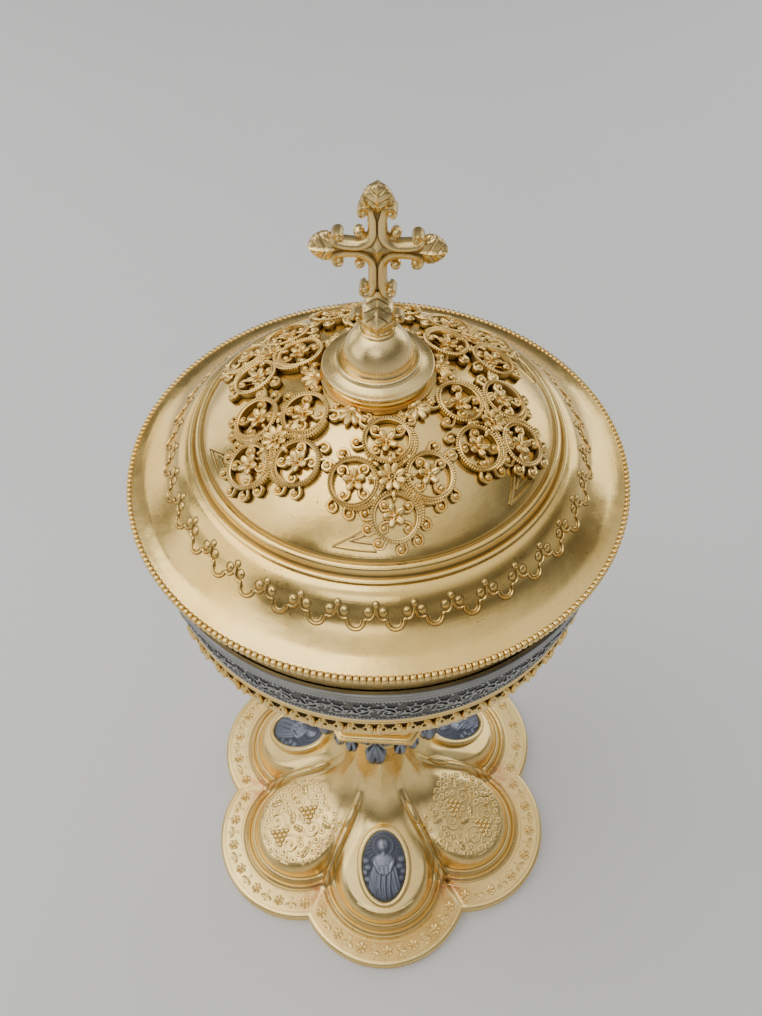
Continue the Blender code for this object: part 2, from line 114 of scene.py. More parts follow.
def arc(centre, radius, start, end, count):
    """Points on a circle in a plane, from one angle to the other in degrees."""
    angle = np.radians(np.linspace(start, end, count + 1))
    return [tuple(point) for point in (polar(radius, angle) + (*centre, 0.0))[:, :2]]


def smooth_step(low, high, value):
    t = np.clip((value - low) / (high - low), 0.0, 1.0)
    return t * t * (3 - 2 * t)


def bell(value, width, power=2):
    """A smooth hump of height 1 at 0."""
    return np.exp(-(np.abs(value / width) ** power))


class Build:
    """Collects surfaces, tubes and balls in millimetres, and makes one mesh of them.

    Each point has an amount of painted shade, from 0 on top to 1 in a hollow or underneath, by which the materials
    darken its colour where shade would fall.
    """

    def __init__(self):
        self.points, self.faces, self.depths, self.count = [], [], [], 0

    def add(self, points, faces, depth=0.0):
        points = np.asarray(points, float).reshape(-1, 3)
        self.faces += [np.asarray(group, int) + self.count for group in faces]
        self.points.append(points)
        self.depths.append(np.broadcast_to(np.asarray(depth, float).ravel(), len(points)).copy())
        self.count += len(points)

    def grid(self, points, wrap_rows=False, depth=0.0):
        """A sheet of quads through an array of rows of points, each row a closed ring."""
        rows, columns = points.shape[:2]
        number = np.arange(rows * columns).reshape(rows, columns)
        a, b = (number, np.roll(number, -1, 0)) if wrap_rows else (number[:-1], number[1:])
        faces = np.stack([a, b, np.roll(b, -1, 1), np.roll(a, -1, 1)], -1)
        self.add(points, [faces.reshape(-1, 4)], np.broadcast_to(depth, points.shape[:2]))

    def cap(self, ring, depth, flip=False):
        """Closes a ring of points with a fan about its middle."""
        i = np.arange(len(ring))
        fan = np.stack([i, np.roll(i, -1), np.full(len(ring), len(ring))], 1)
        self.add(np.vstack([ring, ring.mean(0)]), [fan[:, ::-1] if flip else fan], depth)

    def turned(self, outline, steps, depth=0.0, radius_at=None):
        """A closed section of (radius, height) turned about Z. radius_at changes a radius by its angle."""
        outline = np.asarray(outline, float)
        angle = around(steps)
        radius = np.broadcast_to(outline[:, :1], (len(outline), steps))
        if radius_at is not None:
            radius = radius_at(radius, angle[None, :], outline[:, 1:])
        depth = np.asarray(depth, float).reshape(-1, 1)
        self.grid(polar(radius, angle, outline[:, 1:]), wrap_rows=True, depth=depth)

    def tube(self, path, radius, sides=8, closed=False, tall=1.0, up=(0, 0, 1), depth=0.0, section=None):
        """A tube along a path, with painted shade: the given amount underneath it, or a pair of amounts on top and
        underneath.

        section replaces the circle.
        """
        path = np.asarray(path, float)
        along = unit(np.roll(path, -1, 0) - np.roll(path, 1, 0) if closed else np.gradient(path, axis=0))
        side = unit(np.cross(along, np.broadcast_to(np.asarray(up, float), path.shape)))
        lift = np.cross(side, along)
        if section is None:
            section = polar(1.0, TAU * (np.arange(sides) + 0.5) / sides)[:, :2] * (1.0, tall)
        section = np.asarray(section, float)
        radius = np.broadcast_to(np.asarray(radius, float), len(path))[:, None, None]
        across = section[None, :, :1] * side[:, None] + section[None, :, 1:] * lift[:, None]
        points = path[:, None] + radius * across
        height = (section[:, 1] - section[:, 1].min()) / (np.ptp(section[:, 1]) + 1e-9)
        on_top, beneath = depth if np.ndim(depth) else (0.0, depth)
        shade = beneath + (on_top - beneath) * height
        self.grid(points, wrap_rows=closed, depth=shade)
        if not closed:
            for row, flip in ((0, False), (-1, True)):
                self.cap(points[row], np.append(shade, shade.mean()), flip)

    def rail(self, path, width, section):
        """A tube whose section is only narrowed across the path, not in its height."""
        side = np.cross(unit(np.gradient(path, axis=0)), (0.0, 0.0, 1.0))
        section = np.asarray(section)
        points = path[:, None] + width[:, None, None] * section[None, :, :1] * side[:, None]
        points = points + section[None, :, 1:] * np.array([0.0, 0.0, 1.0])
        # painted shade: darker towards the rail's two sides
        edge = np.abs(section[:, 0]) / np.abs(section[:, 0]).max()
        self.grid(points, depth=edge**3 * 0.55)
        for row in (0, -1):
            self.cap(points[row], 0.3)

    def ball(self, centre, radii, rings=7, segments=10, turn=0.0, depth=0.35, power=1.0):
        """An ellipsoid turned by an angle or a matrix. A power under 1 squares it off."""
        tilt = math.pi * (np.arange(rings) + 0.5) / rings
        shape = polar(np.sin(tilt)[:, None], around(segments), np.cos(tilt)[:, None])
        points = np.vstack([shape.reshape(-1, 3), [[0, 0, 1], [0, 0, -1]]])
        # painted shade: each ball is darker towards its underside
        on_top, beneath = depth if np.ndim(depth) else (0.0, depth)
        shade = beneath + (on_top - beneath) * (points[:, 2] + 1) / 2
        points = np.sign(points) * np.abs(points) ** power * np.broadcast_to(radii, 3)
        points = points @ (spin(turn) if np.ndim(turn) == 0 else turn).T
        number = np.arange(rings * segments).reshape(rings, segments)
        after = np.roll(number, -1, 1)
        body = np.stack([number[:-1], number[1:], after[1:], after[:-1]], -1).reshape(-1, 4)
        top, foot = (
            np.stack([number[row], after[row], np.full(segments, rings * segments + pole)], 1)
            for pole, row in enumerate((0, -1))
        )
        self.add(points + np.asarray(centre, float), [body, top, foot[:, ::-1]], shade)

    def join(self, other, change=None):
        """Adds what another Build holds, with its points passed through change."""
        points = np.vstack(other.points)
        self.points.append(change(points) if change else points)
        self.depths.append(np.concatenate(other.depths))
        self.faces += [faces + self.count for faces in other.faces]
        self.count += other.count

    def repeat(self, other, count, change):
        """Joins another Build count times; change also takes the number of the time."""
        for number in range(count):
            self.join(other, lambda points: change(points, number))

    def mesh(self, name, wear=None):
        points = np.vstack(self.points)
        corners = np.concatenate([faces.ravel() for faces in self.faces]).astype(np.int32)
        sizes = np.concatenate([np.full(len(faces), faces.shape[1]) for faces in self.faces])
        mesh = bpy.data.meshes.new(name)
        for rows, count in ((mesh.vertices, len(points)), (mesh.loops, len(corners)), (mesh.polygons, len(sizes))):
            rows.add(count)
        mesh.vertices.foreach_set("co", (points * MM).ravel())
        mesh.loops.foreach_set("vertex_index", corners)
        mesh.polygons.foreach_set("loop_start", (np.cumsum(sizes) - sizes).astype(np.int32))
        mesh.update(calc_edges=True)
        values = {"depth": np.concatenate(self.depths)}
        if wear is not None:
            values["wear"] = wear(points)
        for key, value in values.items():
            mesh.attributes.new(key, "FLOAT", "POINT").data.foreach_set("value", value.astype(np.float32))
        return mesh

    def piece(self, name, look, body, nodes, angle=38.0, wear=None):
        """Makes the object, which rides on a body and stands for CAD nodes."""
        return set_piece(self.mesh(name, wear), name, look, body, nodes, angle)


def turned_piece(node, look, body, outline, steps, depth=0.0):
    """A plain turned piece that stands for one CAD node."""
    b = Build()
    b.turned(outline, steps, depth)
    b.piece(node + "_work", look, body, [node])


def set_piece(mesh, name, look, body, nodes, angle):
    obj = bpy.data.objects.new(name, mesh)
    bpy.context.scene.collection.objects.link(obj)
    if not mesh.materials:
        mesh.materials.append(look)
        mesh.shade_smooth()
        mesh.set_sharp_from_angle(angle=math.radians(angle))
    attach(obj, body)
    if nodes:
        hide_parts(*nodes)
    return obj


def set_round(mesh, stem, look, body, turn, angle=38.0):
    """One piece of the same mesh for each of six numbered CAD nodes, turned about Z."""
    for number in range(LOBES):
        node = f"{stem}_{number + 1}"
        obj = set_piece(mesh, node + "_work", look, body, [node], angle)
        obj.matrix_world = Matrix.Rotation(math.radians(turn + LOBE_STEP * number), 4, "Z")


# ---------------------------------------------------------------- materials


class Nodes:
    """Short ways to make and link shader nodes."""

    def __init__(self, name):
        self.material = bpy.data.materials.new(name)
        self.material.use_nodes = True
        self.tree = self.material.node_tree
        self.shader = self.tree.nodes["Principled BSDF"]
        self.where = None

    def make(self, kind, inputs=(), **settings):
        node = self.tree.nodes.new("ShaderNode" + kind)
        for key, value in settings.items():
            setattr(node, key, value)
        for key, value in dict(inputs).items():
            self.feed(node.inputs[key], value)
        return node

    def feed(self, socket, value):
        if isinstance(value, bpy.types.NodeSocket):
            self.tree.links.new(value, socket)
        else:
            socket.default_value = value

    def noise(self, scale, detail, rough=0.5, vector=None):
        node = self.make("TexNoise", {"Scale": scale, "Detail": detail, "Roughness": rough})
        self.feed(node.inputs["Vector"], vector or self.place())
        return node.outputs["Fac"]

    def place(self):
        self.where = self.where or self.make("TexCoord").outputs["Object"]
        return self.where

    def band(self, value, low, high):
        ends = {"Value": value, "From Min": low, "From Max": high}
        return self.make("MapRange", ends, interpolation_type="SMOOTHSTEP").outputs["Result"]

    def maths(self, operation, a, b, c=None):
        inputs = {0: a, 1: b} if c is None else {0: a, 1: b, 2: c}
        return self.make("Math", inputs, operation=operation).outputs[0]

    def mix(self, share, a, b):
        return self.make("Mix", {"Factor": share, 6: a, 7: b}, data_type="RGBA").outputs[2]

    def attribute(self, name):
        return self.make("Attribute", attribute_name=name).outputs["Fac"]

    def bump(self, height, strength, distance, normal=None):
        inputs = {"Height": height, "Strength": strength, "Distance": distance}
        if normal is not None:
            inputs["Normal"] = normal
        return self.make("Bump", inputs).outputs["Normal"]


COPPER_PATCH, BARE_COPPER = (0.72, 0.36, 0.20, 1.0), (0.60, 0.20, 0.09, 1.0)
LINES_PER_METRE = 2400.0


def metal(name, colours, rough, grain, lathe=0.0, wear=0.0, pits=0.0):
    """A worked metal. Its three colours are the usual one, one for warmer patches, and one for painted shade in
    hollows and for pits.

    grain is the strength of its fine texture, lathe of turning and polishing lines about Z, wear of copper
    toned patches, and pits of small dark specks.
    """
    n = Nodes(name)
    colour, warm, shade_and_pit_colour = ((*c, 1.0) for c in colours)
    patches = n.band(n.noise(45.0, 4.0, 0.6), 0.38, 0.68)
    base = n.mix(patches, colour, warm)
    smudge = n.band(n.noise(120.0, 5.0, 0.65), 0.35, 0.7)
    if wear:
        worn = n.band(n.noise(60.0, 5.0, 0.7), 0.60, 0.72)
        base = n.mix(n.maths("MULTIPLY", worn, wear), base, COPPER_PATCH)
    bare = n.attribute("wear")
    bare = n.maths("MULTIPLY", bare, n.band(n.noise(500.0, 4.0, 0.7), 0.35, 0.60))
    base = n.mix(bare, base, BARE_COPPER)
    shade_amount = n.attribute("depth")
    fine = n.noise(2600.0, 3.0, 0.6)
    if pits:
        speck = n.band(n.noise(1500.0, 1.0, 0.4), 0.70, 0.76)
        where = n.band(n.noise(90.0, 2.0, 0.5), 0.45, 0.65)
        speck = n.maths("MULTIPLY", n.maths("MULTIPLY", speck, where), pits)
        base = n.mix(speck, base, shade_and_pit_colour)
    # painted shade: the colour darkens towards the shade colour where the painted shade attribute is high
    base = n.mix(n.maths("MULTIPLY", n.maths("POWER", shade_amount, 1.3), 0.92), base, shade_and_pit_colour)
    n.feed(n.shader.inputs["Base Color"], base)
    n.shader.inputs["Metallic"].default_value = 1.0
    uneven = n.maths("MULTIPLY_ADD", smudge, 0.10, rough - 0.04)
    grainy = n.maths("MULTIPLY_ADD", fine, 0.10)
    n.feed(grainy.node.inputs[2], n.maths("SUBTRACT", uneven, 0.05))
    n.feed(n.shader.inputs["Roughness"], n.maths("ADD", grainy, n.maths("MULTIPLY", shade_amount, 0.22)))
    normal = n.bump(fine, grain, 0.00004)
    normal = n.bump(n.noise(300.0, 2.0, 0.5), 0.25, 0.0002, normal)
    if lathe:
        split = n.make("SeparateXYZ", {0: n.place()})
        across = n.make("VectorMath", {0: n.place(), 1: (1.0, 1.0, 0.0)}, operation="MULTIPLY").outputs[0]
        reach = n.make("VectorMath", {0: across}, operation="LENGTH").outputs["Value"]
        angle = n.maths("ARCTAN2", split.outputs["Y"], split.outputs["X"])
        stretched = {
            "X": n.maths("MULTIPLY", reach, LINES_PER_METRE),
            "Y": n.maths("MULTIPLY", angle, 3.0),
            "Z": n.maths("MULTIPLY", split.outputs["Z"], LINES_PER_METRE),
        }
        lines = n.noise(1.0, 3.0, 0.65, n.make("CombineXYZ", stretched).outputs[0])
        normal = n.bump(lines, lathe, 0.00003, normal)
    n.feed(n.shader.inputs["Normal"], normal)
    return n.material


# the third colour of each set is painted shade for hollows and undersides, and also the colour of pits
WARM_GOLD, GOLD_SHADE_AND_PITS = (0.91, 0.60, 0.17), (0.075, 0.052, 0.02)
GOLDS = ((0.94, 0.665, 0.225), WARM_GOLD, GOLD_SHADE_AND_PITS)
CAST_GOLDS = ((0.95, 0.675, 0.24), WARM_GOLD, GOLD_SHADE_AND_PITS)
RAISED_GOLDS = ((0.93, 0.69, 0.27), (0.90, 0.63, 0.22), (0.12, 0.08, 0.035))
RING_GOLDS = ((0.92, 0.58, 0.13), (0.84, 0.48, 0.08), GOLD_SHADE_AND_PITS)
SATIN_GOLDS = ((0.91, 0.68, 0.29), (0.84, 0.60, 0.22), (0.12, 0.075, 0.025))
SILVERS = ((0.28, 0.30, 0.33), (0.19, 0.21, 0.25), (0.012, 0.014, 0.018))
SLATES = ((0.24, 0.255, 0.30), (0.17, 0.185, 0.23), (0.05, 0.056, 0.07))
BAND_SILVERS = ((0.42, 0.42, 0.40), (0.30, 0.30, 0.28), (0.014, 0.014, 0.014))
STEELS = ((0.45, 0.43, 0.40), (0.38, 0.34, 0.30), (0.1, 0.08, 0.06))

POLISHED = metal("polished_gilding", GOLDS, 0.22, 0.14, 0.35, pits=0.7)
RAISED = metal("raised_gilding", RAISED_GOLDS, 0.30, 0.35, 0.0, 0.15, 0.8)
CAST = metal("cast_gilding", CAST_GOLDS, 0.27, 0.45)
ORANGE = metal("bright_ring_gilding", RING_GOLDS, 0.16, 0.1, 0.3)
SATIN = metal("satin_gilding", SATIN_GOLDS, 0.27, 0.8, pits=0.5)
SILVER = metal("bright_silver", SILVERS, 0.24, 0.35)
SLATE = metal("darkened_silver", SLATES, 0.36, 0.5)
BAND_SILVER = metal("engraved_silver", BAND_SILVERS, 0.28, 0.3, 0.5)
STEEL = metal("turned_steel", STEELS, 0.38, 0.3, 0.5)


# ---------------------------------------------------------------- dome and filigree


def dome_height(radius):
    return DOME_TOP_Z - DOME_SPHERE + np.sqrt(DOME_SPHERE**2 - radius**2)


def on_dome(points, distance=0.0, azimuth=-90.0):
    """Bends points made flat round the origin onto the dome: their -Y points down it, their Z out of it."""
    x, along, lift = points[:, 0], distance - points[:, 1], points[:, 2]
    reach = np.hypot(x, along) + 1e-9
    radius = (DOME_SPHERE + lift) * np.sin(reach / DOME_SPHERE)
    height = DOME_TOP_Z - DOME_SPHERE + (DOME_SPHERE + lift) * np.cos(reach / DOME_SPHERE)
    flat = np.stack([x / reach * radius, -along / reach * radius, height], 1)
    return flat @ spin(math.radians(azimuth + 90.0)).T


WIRE_TOP = 1.65  # top of the filigree above the dome


def wall_section(width, low, high):
    """A bar's section, standing on its edge, with its top rounded over."""
    half = width / 2
    side = [(half, low), (half, high - half), (half * 0.7, high - half * 0.3)]
    return side + [(0.0, high)] + [(-x, y) for x, y in side[::-1]]


def curl(build, start, eye, hand, size, low, thick=0.36, bead=0.62):
    """A stem that leaves start, bends to one hand and curls round a bead at eye."""
    start, eye = np.asarray(start, float), np.asarray(eye, float)
    ahead = (eye - start) / np.linalg.norm(eye - start)
    aside = hand * np.array([-ahead[1], ahead[0]])
    sweep = np.linspace(0.0, 1.45 * math.pi, 12)
    spiral = [eye + (size - 0.07 * size * s) * (-aside * math.cos(s) + ahead * math.sin(s)) for s in sweep]
    lead = spiral[0] - ahead * 0.55 * size
    path = curve_through(np.vstack([start, 0.5 * (start + lead) - aside * 0.1, lead, spiral[::2]]), 4)
    build.tube(at_height(path, low + 0.45), thick * np.linspace(1.0, 0.75, len(path)), 8, tall=1.2, depth=0.9)
    # the wall under the stem is painted dark as shade, darkest at its foot
    build.tube(at_height(path, low), 1.0, depth=(0.7, 1.0), section=wall_section(thick * 1.6, -0.35, 0.5))
    build.ball((*eye, low + 0.5), (bead, bead, bead * 1.05), 8, 12, depth=0.6)


PETAL_LEAN = np.array([[0.95, 0.0, -0.31], [0.0, 1.0, 0.0], [0.31, 0.0, 0.95]])


def flower(build, centre, petals, inner, outer, high, width, hub, turn):
    """A rosette of cupped petals round a hub."""
    for a in turn + around(petals):
        at = polar((inner + outer) / 2, a, high) + (*centre, 0.0)
        size = ((outer - inner) / 2 * 1.08, width, 0.42)
        build.ball(at, size, 8, 14, spin(a) @ PETAL_LEAN, depth=0.8, power=0.85)
        r = np.linspace(inner * 1.1, outer * 0.86, 4)
        build.tube(polar(r, a, high + 0.30 + 0.3 * r / outer) + (*centre, 0.0), 0.13, 5, depth=0.3)
    build.ball((*centre, high + 0.15), (hub, hub, 0.5), 7, 12)


def milled_bar(b, path, closed, hand):
    """A bar with a milled outer edge and a plain inner rail."""
    wall = wall_section(0.86, -0.1, WIRE_TOP - 0.25)
    b.tube(at_height(path, 0.0), 1.0, closed=closed, depth=(0.35, 1.0), section=wall)
    loop = np.vstack([path, path[:1]]) if closed else path
    run = np.concatenate([[0.0], np.cumsum(np.linalg.norm(np.diff(loop, axis=0), axis=1))])
    fine = np.arange(0.0, run[-1], 0.09)
    along = np.stack([np.interp(fine, run, loop[:, i]) for i in (0, 1)], 1)
    tangent = unit(np.gradient(along, axis=0))
    out = np.stack([tangent[:, 1], -tangent[:, 0]], 1) * hand
    notch = (0.5 + 0.5 * np.cos(TAU * fine / 0.54)) ** 0.7
    b.tube(at_height(along + out * 0.22, WIRE_TOP - 0.30), 0.20 + 0.20 * notch, 6, depth=0.6)
    # painted shade in the notches of the milled edge
    b.depths[-3] += np.repeat(0.75 * (1 - notch) ** 2, 6)
    b.tube(at_height(along - out * 0.34, WIRE_TOP - 0.28)[::4], 0.19, 6, depth=0.4)


def roundel(hand, hooks):
    """One spiral roundel of a panel, out along +X, with its flower, curls, buds and outer hooks."""
    b = Build()
    centre = np.array([ROUNDEL_OFFSET, 0.0])
    ring = centre + circle(4.86, 120)[:, :2] * (-1, -1)
    # the stem that leaves the rosette and runs alongside until it joins the ring
    lead = [(1.9, -1.2), (3.1, -3.0), (4.6, -4.75), (6.4, -5.6), (8.3, -5.55), (10.2, -4.9)]
    milled_bar(b, ring, True, 1)
    milled_bar(b, curve_through(np.array(lead) * (1.0, hand), 8), False, hand)
    # flower with four curls inside the ring
    heart = centre + np.array([-0.25, 0.3 * hand])
    flower(b, heart, 5, 0.35, 2.45, 1.15, 0.82, 0.55, turn=0.4 * hand)
    for i, angle in enumerate((0.78, 2.20, 3.85, 5.35)):
        way = polar(1.0, angle)[:2]
        curl(b, heart + 1.7 * way, centre + 3.4 * way, 1 if i % 2 else -1, 1.0, 0.45, 0.38, 0.7)
    for i, angle in enumerate(hooks):
        a = math.radians(angle) * hand
        side = (1 if angle > 0 else -1) * (1 if i % 2 else -1) * hand
        root = centre + 5.1 * polar(1.0, a - side * 0.20)[:2]
        curl(b, root, centre + 6.5 * polar(1.0, a)[:2], side, 1.12, 0.4, 0.4, 0.7)
    # bud between the rosette and the ring
    b.ball((3.55, 0.0, 1.2), (1.0, 0.62, 0.5), 8, 12, depth=0.7)
    b.ball((4.6, 0.0, 1.3), (0.5, 0.45, 0.5), 7, 10, depth=0.7)
    return b


def make_panels():
    flat = Build()
    top, sides, bottom = (40.0, -52.0, 88.0), (41.0, -41.0, 76.0, -76.0), (-4.0, 41.0, -40.0, 75.0, -73.0, 103.0)
    for quarter, (hand, hooks) in enumerate(((1, top), (-1, sides), (-1, bottom), (1, sides))):
        flat.join(roundel(hand, hooks), turned_by(math.pi / 2 + quarter * math.pi / 2))
    flower(flat, (0.0, 0.0), 8, 0.45, 2.95, 1.25, 0.84, 0.3, turn=math.pi / 8)
    flat.tube(circle(0.62, 24) + (0, 0, 1.6), 0.22, 6, closed=True)
    # a flat disc painted dark as shade in the flower's heart, and a wall painted dark as shade round it
    flat.ball((0.0, 0.0, 1.55), (0.45, 0.45, 0.12), 5, 12, depth=(1.0, 1.0))
    rim = wall_section(2.2, -0.4, 0.4)
    flat.tube(circle(1.3, 32) + (0, 0, 0.5), 1.0, closed=True, depth=(0.8, 1.0), section=rim)
    for a in math.pi / 4 + around(4):
        bar = polar(np.linspace(2.0, 5.4, 6), a, 0.6)
        flat.tube(bar, 1.0, depth=(0.5, 1.0), section=wall_section(0.9, -0.3, 0.5))
        flat.ball(polar(4.3, a, 1.0), (1.0, 0.6, 0.55), 8, 12, a, depth=0.7)
        flat.ball(polar(5.7, a, 1.05), (0.72, 0.72, 0.62), 7, 12, depth=0.6)
    shared = Build()
    shared.join(flat, lambda points: on_dome(points + (0, 0, 0.2), PANEL_DISTANCE))
    set_round(shared.mesh("filigree_panel"), "filigree_panel", CAST, "lid", LID_TURN)


def palmette():
    """A shell of five ribbed lobes between two curls."""
    one = Build()
    for lobe, long in enumerate((2.05, 2.05, 2.3, 2.05, 2.05)):
        a = math.radians(-90 + (lobe - 2) * 36)
        one.ball(polar(long, a, 0.95), (1.5, 0.82, 0.6), 10, 14, a, depth=0.9, power=0.9)
        r = np.linspace(0.7, long + 0.9, 6)
        one.tube(polar(r, a, 1.45 + 0.12 * np.sin(r)), 0.17, 6, depth=0.2)
    one.ball((0.0, 0.3, 1.1), (1.1, 0.9, 0.75), 8, 14)
    for side in (1, -1):
        curl(one, (side * 1.0, 0.9), (side * 3.6, -0.35), side, 1.0, 0.5)
    return one


def make_palmettes():
    b = Build()
    b.repeat(palmette(), LOBES, lambda points, i: on_dome(points, 13.1, LOBE_STEP * (i - 1) + LID_TURN))
    reaches = (2.8, 6.0, 9.0, 12.6)
    plate = [(reach, 0.25) for reach in reaches] + [(reach, 1.0) for reach in reaches[::-1]]
    b.grid(np.stack([on_dome(circle(reach, 96) + (0, 0, high)) for reach, high in plate]), wrap_rows=True, depth=0.3)
    b.piece("palmettes", CAST, "lid", ["palmette_plate"])


# ---------------------------------------------------------------- lid

FLANGE = curve_through(
    [(43.7, 219.2), (45.4, 218.6), (47.3, 217.0), (50.3, 213.3), (54.6, 210.5), (57.0, 209.6), (59.2, 209.2)], 6
)
# slanting spikes in the dome, in double lines: each tip and its ends, by radius and degrees
SPIKES = (((38.5, -20.2), ((34.4, -9.0), (38.7, -6.5))), ((37.2, -15.0), ((35.6, -8.0), (37.5, -7.5))))


def shaded(outline, sunk):
    """The painted shade of an outline's points: none, but for the points listed in sunk."""
    return [sunk.get(tuple(point), 0.0) for point in outline]


def make_lid_shell():
    b = Build()
    dome = [(r, float(dome_height(r))) for r in np.linspace(2.6, DOME_EDGE_RADIUS - 0.4, 26)]
    mouldings = [(40.2, 222.4), (40.35, 222.0)]
    mouldings += arc((41.2, 221.15), 1.0, 130, 5, 12) + [(42.35, 220.55), (42.5, 220.2)]
    mouldings += arc((43.35, 219.25), 0.85, 130, 30, 7)
    under = [(59.2, 208.1), (54.4, 209.0), (50.0, 211.6), (46.4, 215.6), (43.4, 217.9), (40.6, 218.7)]
    under += [(39.6, 221.6)] + [(r, float(dome_height(r)) - 1.0) for r in np.linspace(38.4, 2.6, 18)]
    outline = dome + mouldings + [tuple(p) for p in FLANGE] + under
    depth = [0.0] * len(outline)
    # painted shade in the two grooves of the mouldings
    for groove in ((40.35, 222.0), (42.5, 220.2)):
        i = outline.index(groove)
        depth[i - 1 : i + 2] = [0.5, 0.9, 0.6]
    b.turned(outline, 288, depth)
    for number in range(LOBES):
        for tip, ends in SPIKES:
            for end in ends:
                share = np.linspace(0.0, 1.0, 14)[:, None]
                reach, angle = (np.array(tip) * (1 - share) + np.array(end) * share).T
                angle = np.radians(angle + LOBE_STEP * number - 90.0 + LID_TURN)
                line = polar(reach, angle, dome_height(reach))
                b.tube(line, 0.26, 6, depth=0.7)
                # a flat band under the line, painted dark as shade round it
                b.tube(line, 0.62, 6, tall=0.2, depth=(0.85, 0.85))
    b.piece("lid_shell_work", POLISHED, "lid", ["lid_shell"], 30.0)


SCALLOPS, SCALLOP_WIDTH = 38, 8.35
SCALLOP_START = math.radians(-90.0 + 1.5)
SCALLOP_FOOT = 50.7  # radius of the scallops' outer points


def make_scallops():
    """The lace-like border stamped on the flange: a running line that cradles beads."""
    one = Build()
    middle = SCALLOP_WIDTH / 2
    half = [(0.0, 4.55), (0.22, 3.5), (0.5, 2.75), (1.0, 2.2), (1.6, 2.02), (2.12, 2.12), (2.36, 1.9), (2.42, 1.45),
            (2.62, 0.9), (3.05, 0.38), (3.6, 0.08), (middle, 0.0)]
    line = curve_through(half + [(SCALLOP_WIDTH - x, y) for x, y in half[-2::-1]], 3)
    one.tube(at_height(line, 0.1), 0.29, 8, depth=0.6)
    # a flat band under the line, painted dark as shade round it
    one.tube(at_height(line, 0.0), 0.52, 6, tall=0.25, depth=(0.9, 0.9))
    inner = polar(1.12, np.linspace(math.pi * 0.94, TAU * 1.03, 14)) + (middle, 1.68, 0.0)
    one.tube(inner, 0.15, 6, depth=(0.2, 0.9))
    for x, y, r in ((0.0, 5.35, 0.68), (1.58, 3.72, 0.9), (SCALLOP_WIDTH - 1.58, 3.72, 0.9)):
        one.ball((x, y, 0.0), (r, r, 0.33), 8, 14, depth=0.3)
        # a ring round each bead, painted dark as shade
        one.tube(circle(r * 1.1, 18) + (x, y, 0.0), 0.2, 6, closed=True, tall=0.6, depth=(0.8, 1.0))
    step = np.diff(FLANGE, axis=0)
    slope = np.hypot(*step.T)
    length = np.concatenate([[0.0], np.cumsum(slope)])

    def bend(points, number):
        x, y, lift = points.T
        # y runs up the slope from the outer points
        at = np.interp(SCALLOP_FOOT, FLANGE[:, 0], length) - y
        out, fall = (np.interp(at, length[:-1], way / slope) for way in step.T)
        radius, height = (np.interp(at, length, row) for row in FLANGE.T)
        angle = (x / SCALLOP_WIDTH + number + 0.5) * TAU / SCALLOPS + SCALLOP_START
        return polar(radius - fall * lift, angle, height + out * lift)

    b = Build()
    b.repeat(one, SCALLOPS, bend)
    b.piece("lid_scallop_border", POLISHED, "lid", [])


def make_lid_rings():
    b = Build()
    ring = [(59.4, 209.1), (59.6, 208.95), (59.75, 208.5), (59.75, 207.9), (59.4, 207.5)]
    # painted shade on the ring under the beads
    b.turned(ring, 288, [0.9, 1.0, 1.0, 0.8, 0.5])
    for a in around(260):
        b.ball(polar(59.68, a, 208.62), (0.72, 0.66, 0.86), 8, 10, a, depth=0.4, power=0.55)
    b.piece("lid_rim_work", CAST, "lid", ["lid_rim"], 60.0)
    bezel = [(54.4, 208.9), (54.4, 200.9), (54.1, 200.2), (53.7, 200.2), (53.4, 200.9), (53.4, 208.9)]
    turned_piece("lid_bezel", POLISHED, "lid", bezel, 192)


def make_finial():
    foot = float(dome_height(11.6)) + 1.6
    ring = [(9.4, 239.2), (10.9, 239.25)] + arc((10.9, 238.85), 0.6, 80, -20, 6)
    ring += [(11.15, 238.3), (11.2, foot + 0.5), (11.7, foot + 0.1), (11.7, foot - 0.9), (9.4, foot - 0.6)]
    turned_piece("finial_ring", ORANGE, "lid", ring, 160)
    base = [(1.8, 239.5), (11.9, 239.5)] + arc((11.9, 239.85), 0.35, -80, 80, 6)
    base += [(11.3, 240.25), (10.9, 240.35), (10.2, 240.6), (9.5, 240.95)]
    base += arc((8.75, 241.35), 0.62, 20, 130, 7) + [(7.95, 241.75), (7.75, 242.0)]
    base += arc((0.0, 242.4), 7.6, 0, 58, 16) + [(3.85, 248.95), (4.0, 249.1), (4.05, 249.35), (3.9, 249.6)]
    base += [(3.6, 249.75), (1.8, 249.75)]
    turned_piece("finial_base", SATIN, "lid", base, 128)


# ---------------------------------------------------------------- cross

HALF_DEPTH = CROSS_THICKNESS / 2
# the rail's section, highest at its inner side and rolling off outwards
RAIL_SECTION = [(0.88, -HALF_DEPTH + 0.4), (0.88, HALF_DEPTH - 0.5), (0.72, HALF_DEPTH - 0.12), (0.4, HALF_DEPTH),
                (0.0, HALF_DEPTH - 0.08), (-0.45, HALF_DEPTH - 0.32), (-0.8, HALF_DEPTH - 0.72),
                (-0.9, HALF_DEPTH - 1.1), (-0.9, -HALF_DEPTH + 1.1), (-0.8, -HALF_DEPTH + 0.72),
                (0.0, -HALF_DEPTH + 0.08), (0.72, -HALF_DEPTH + 0.12)]


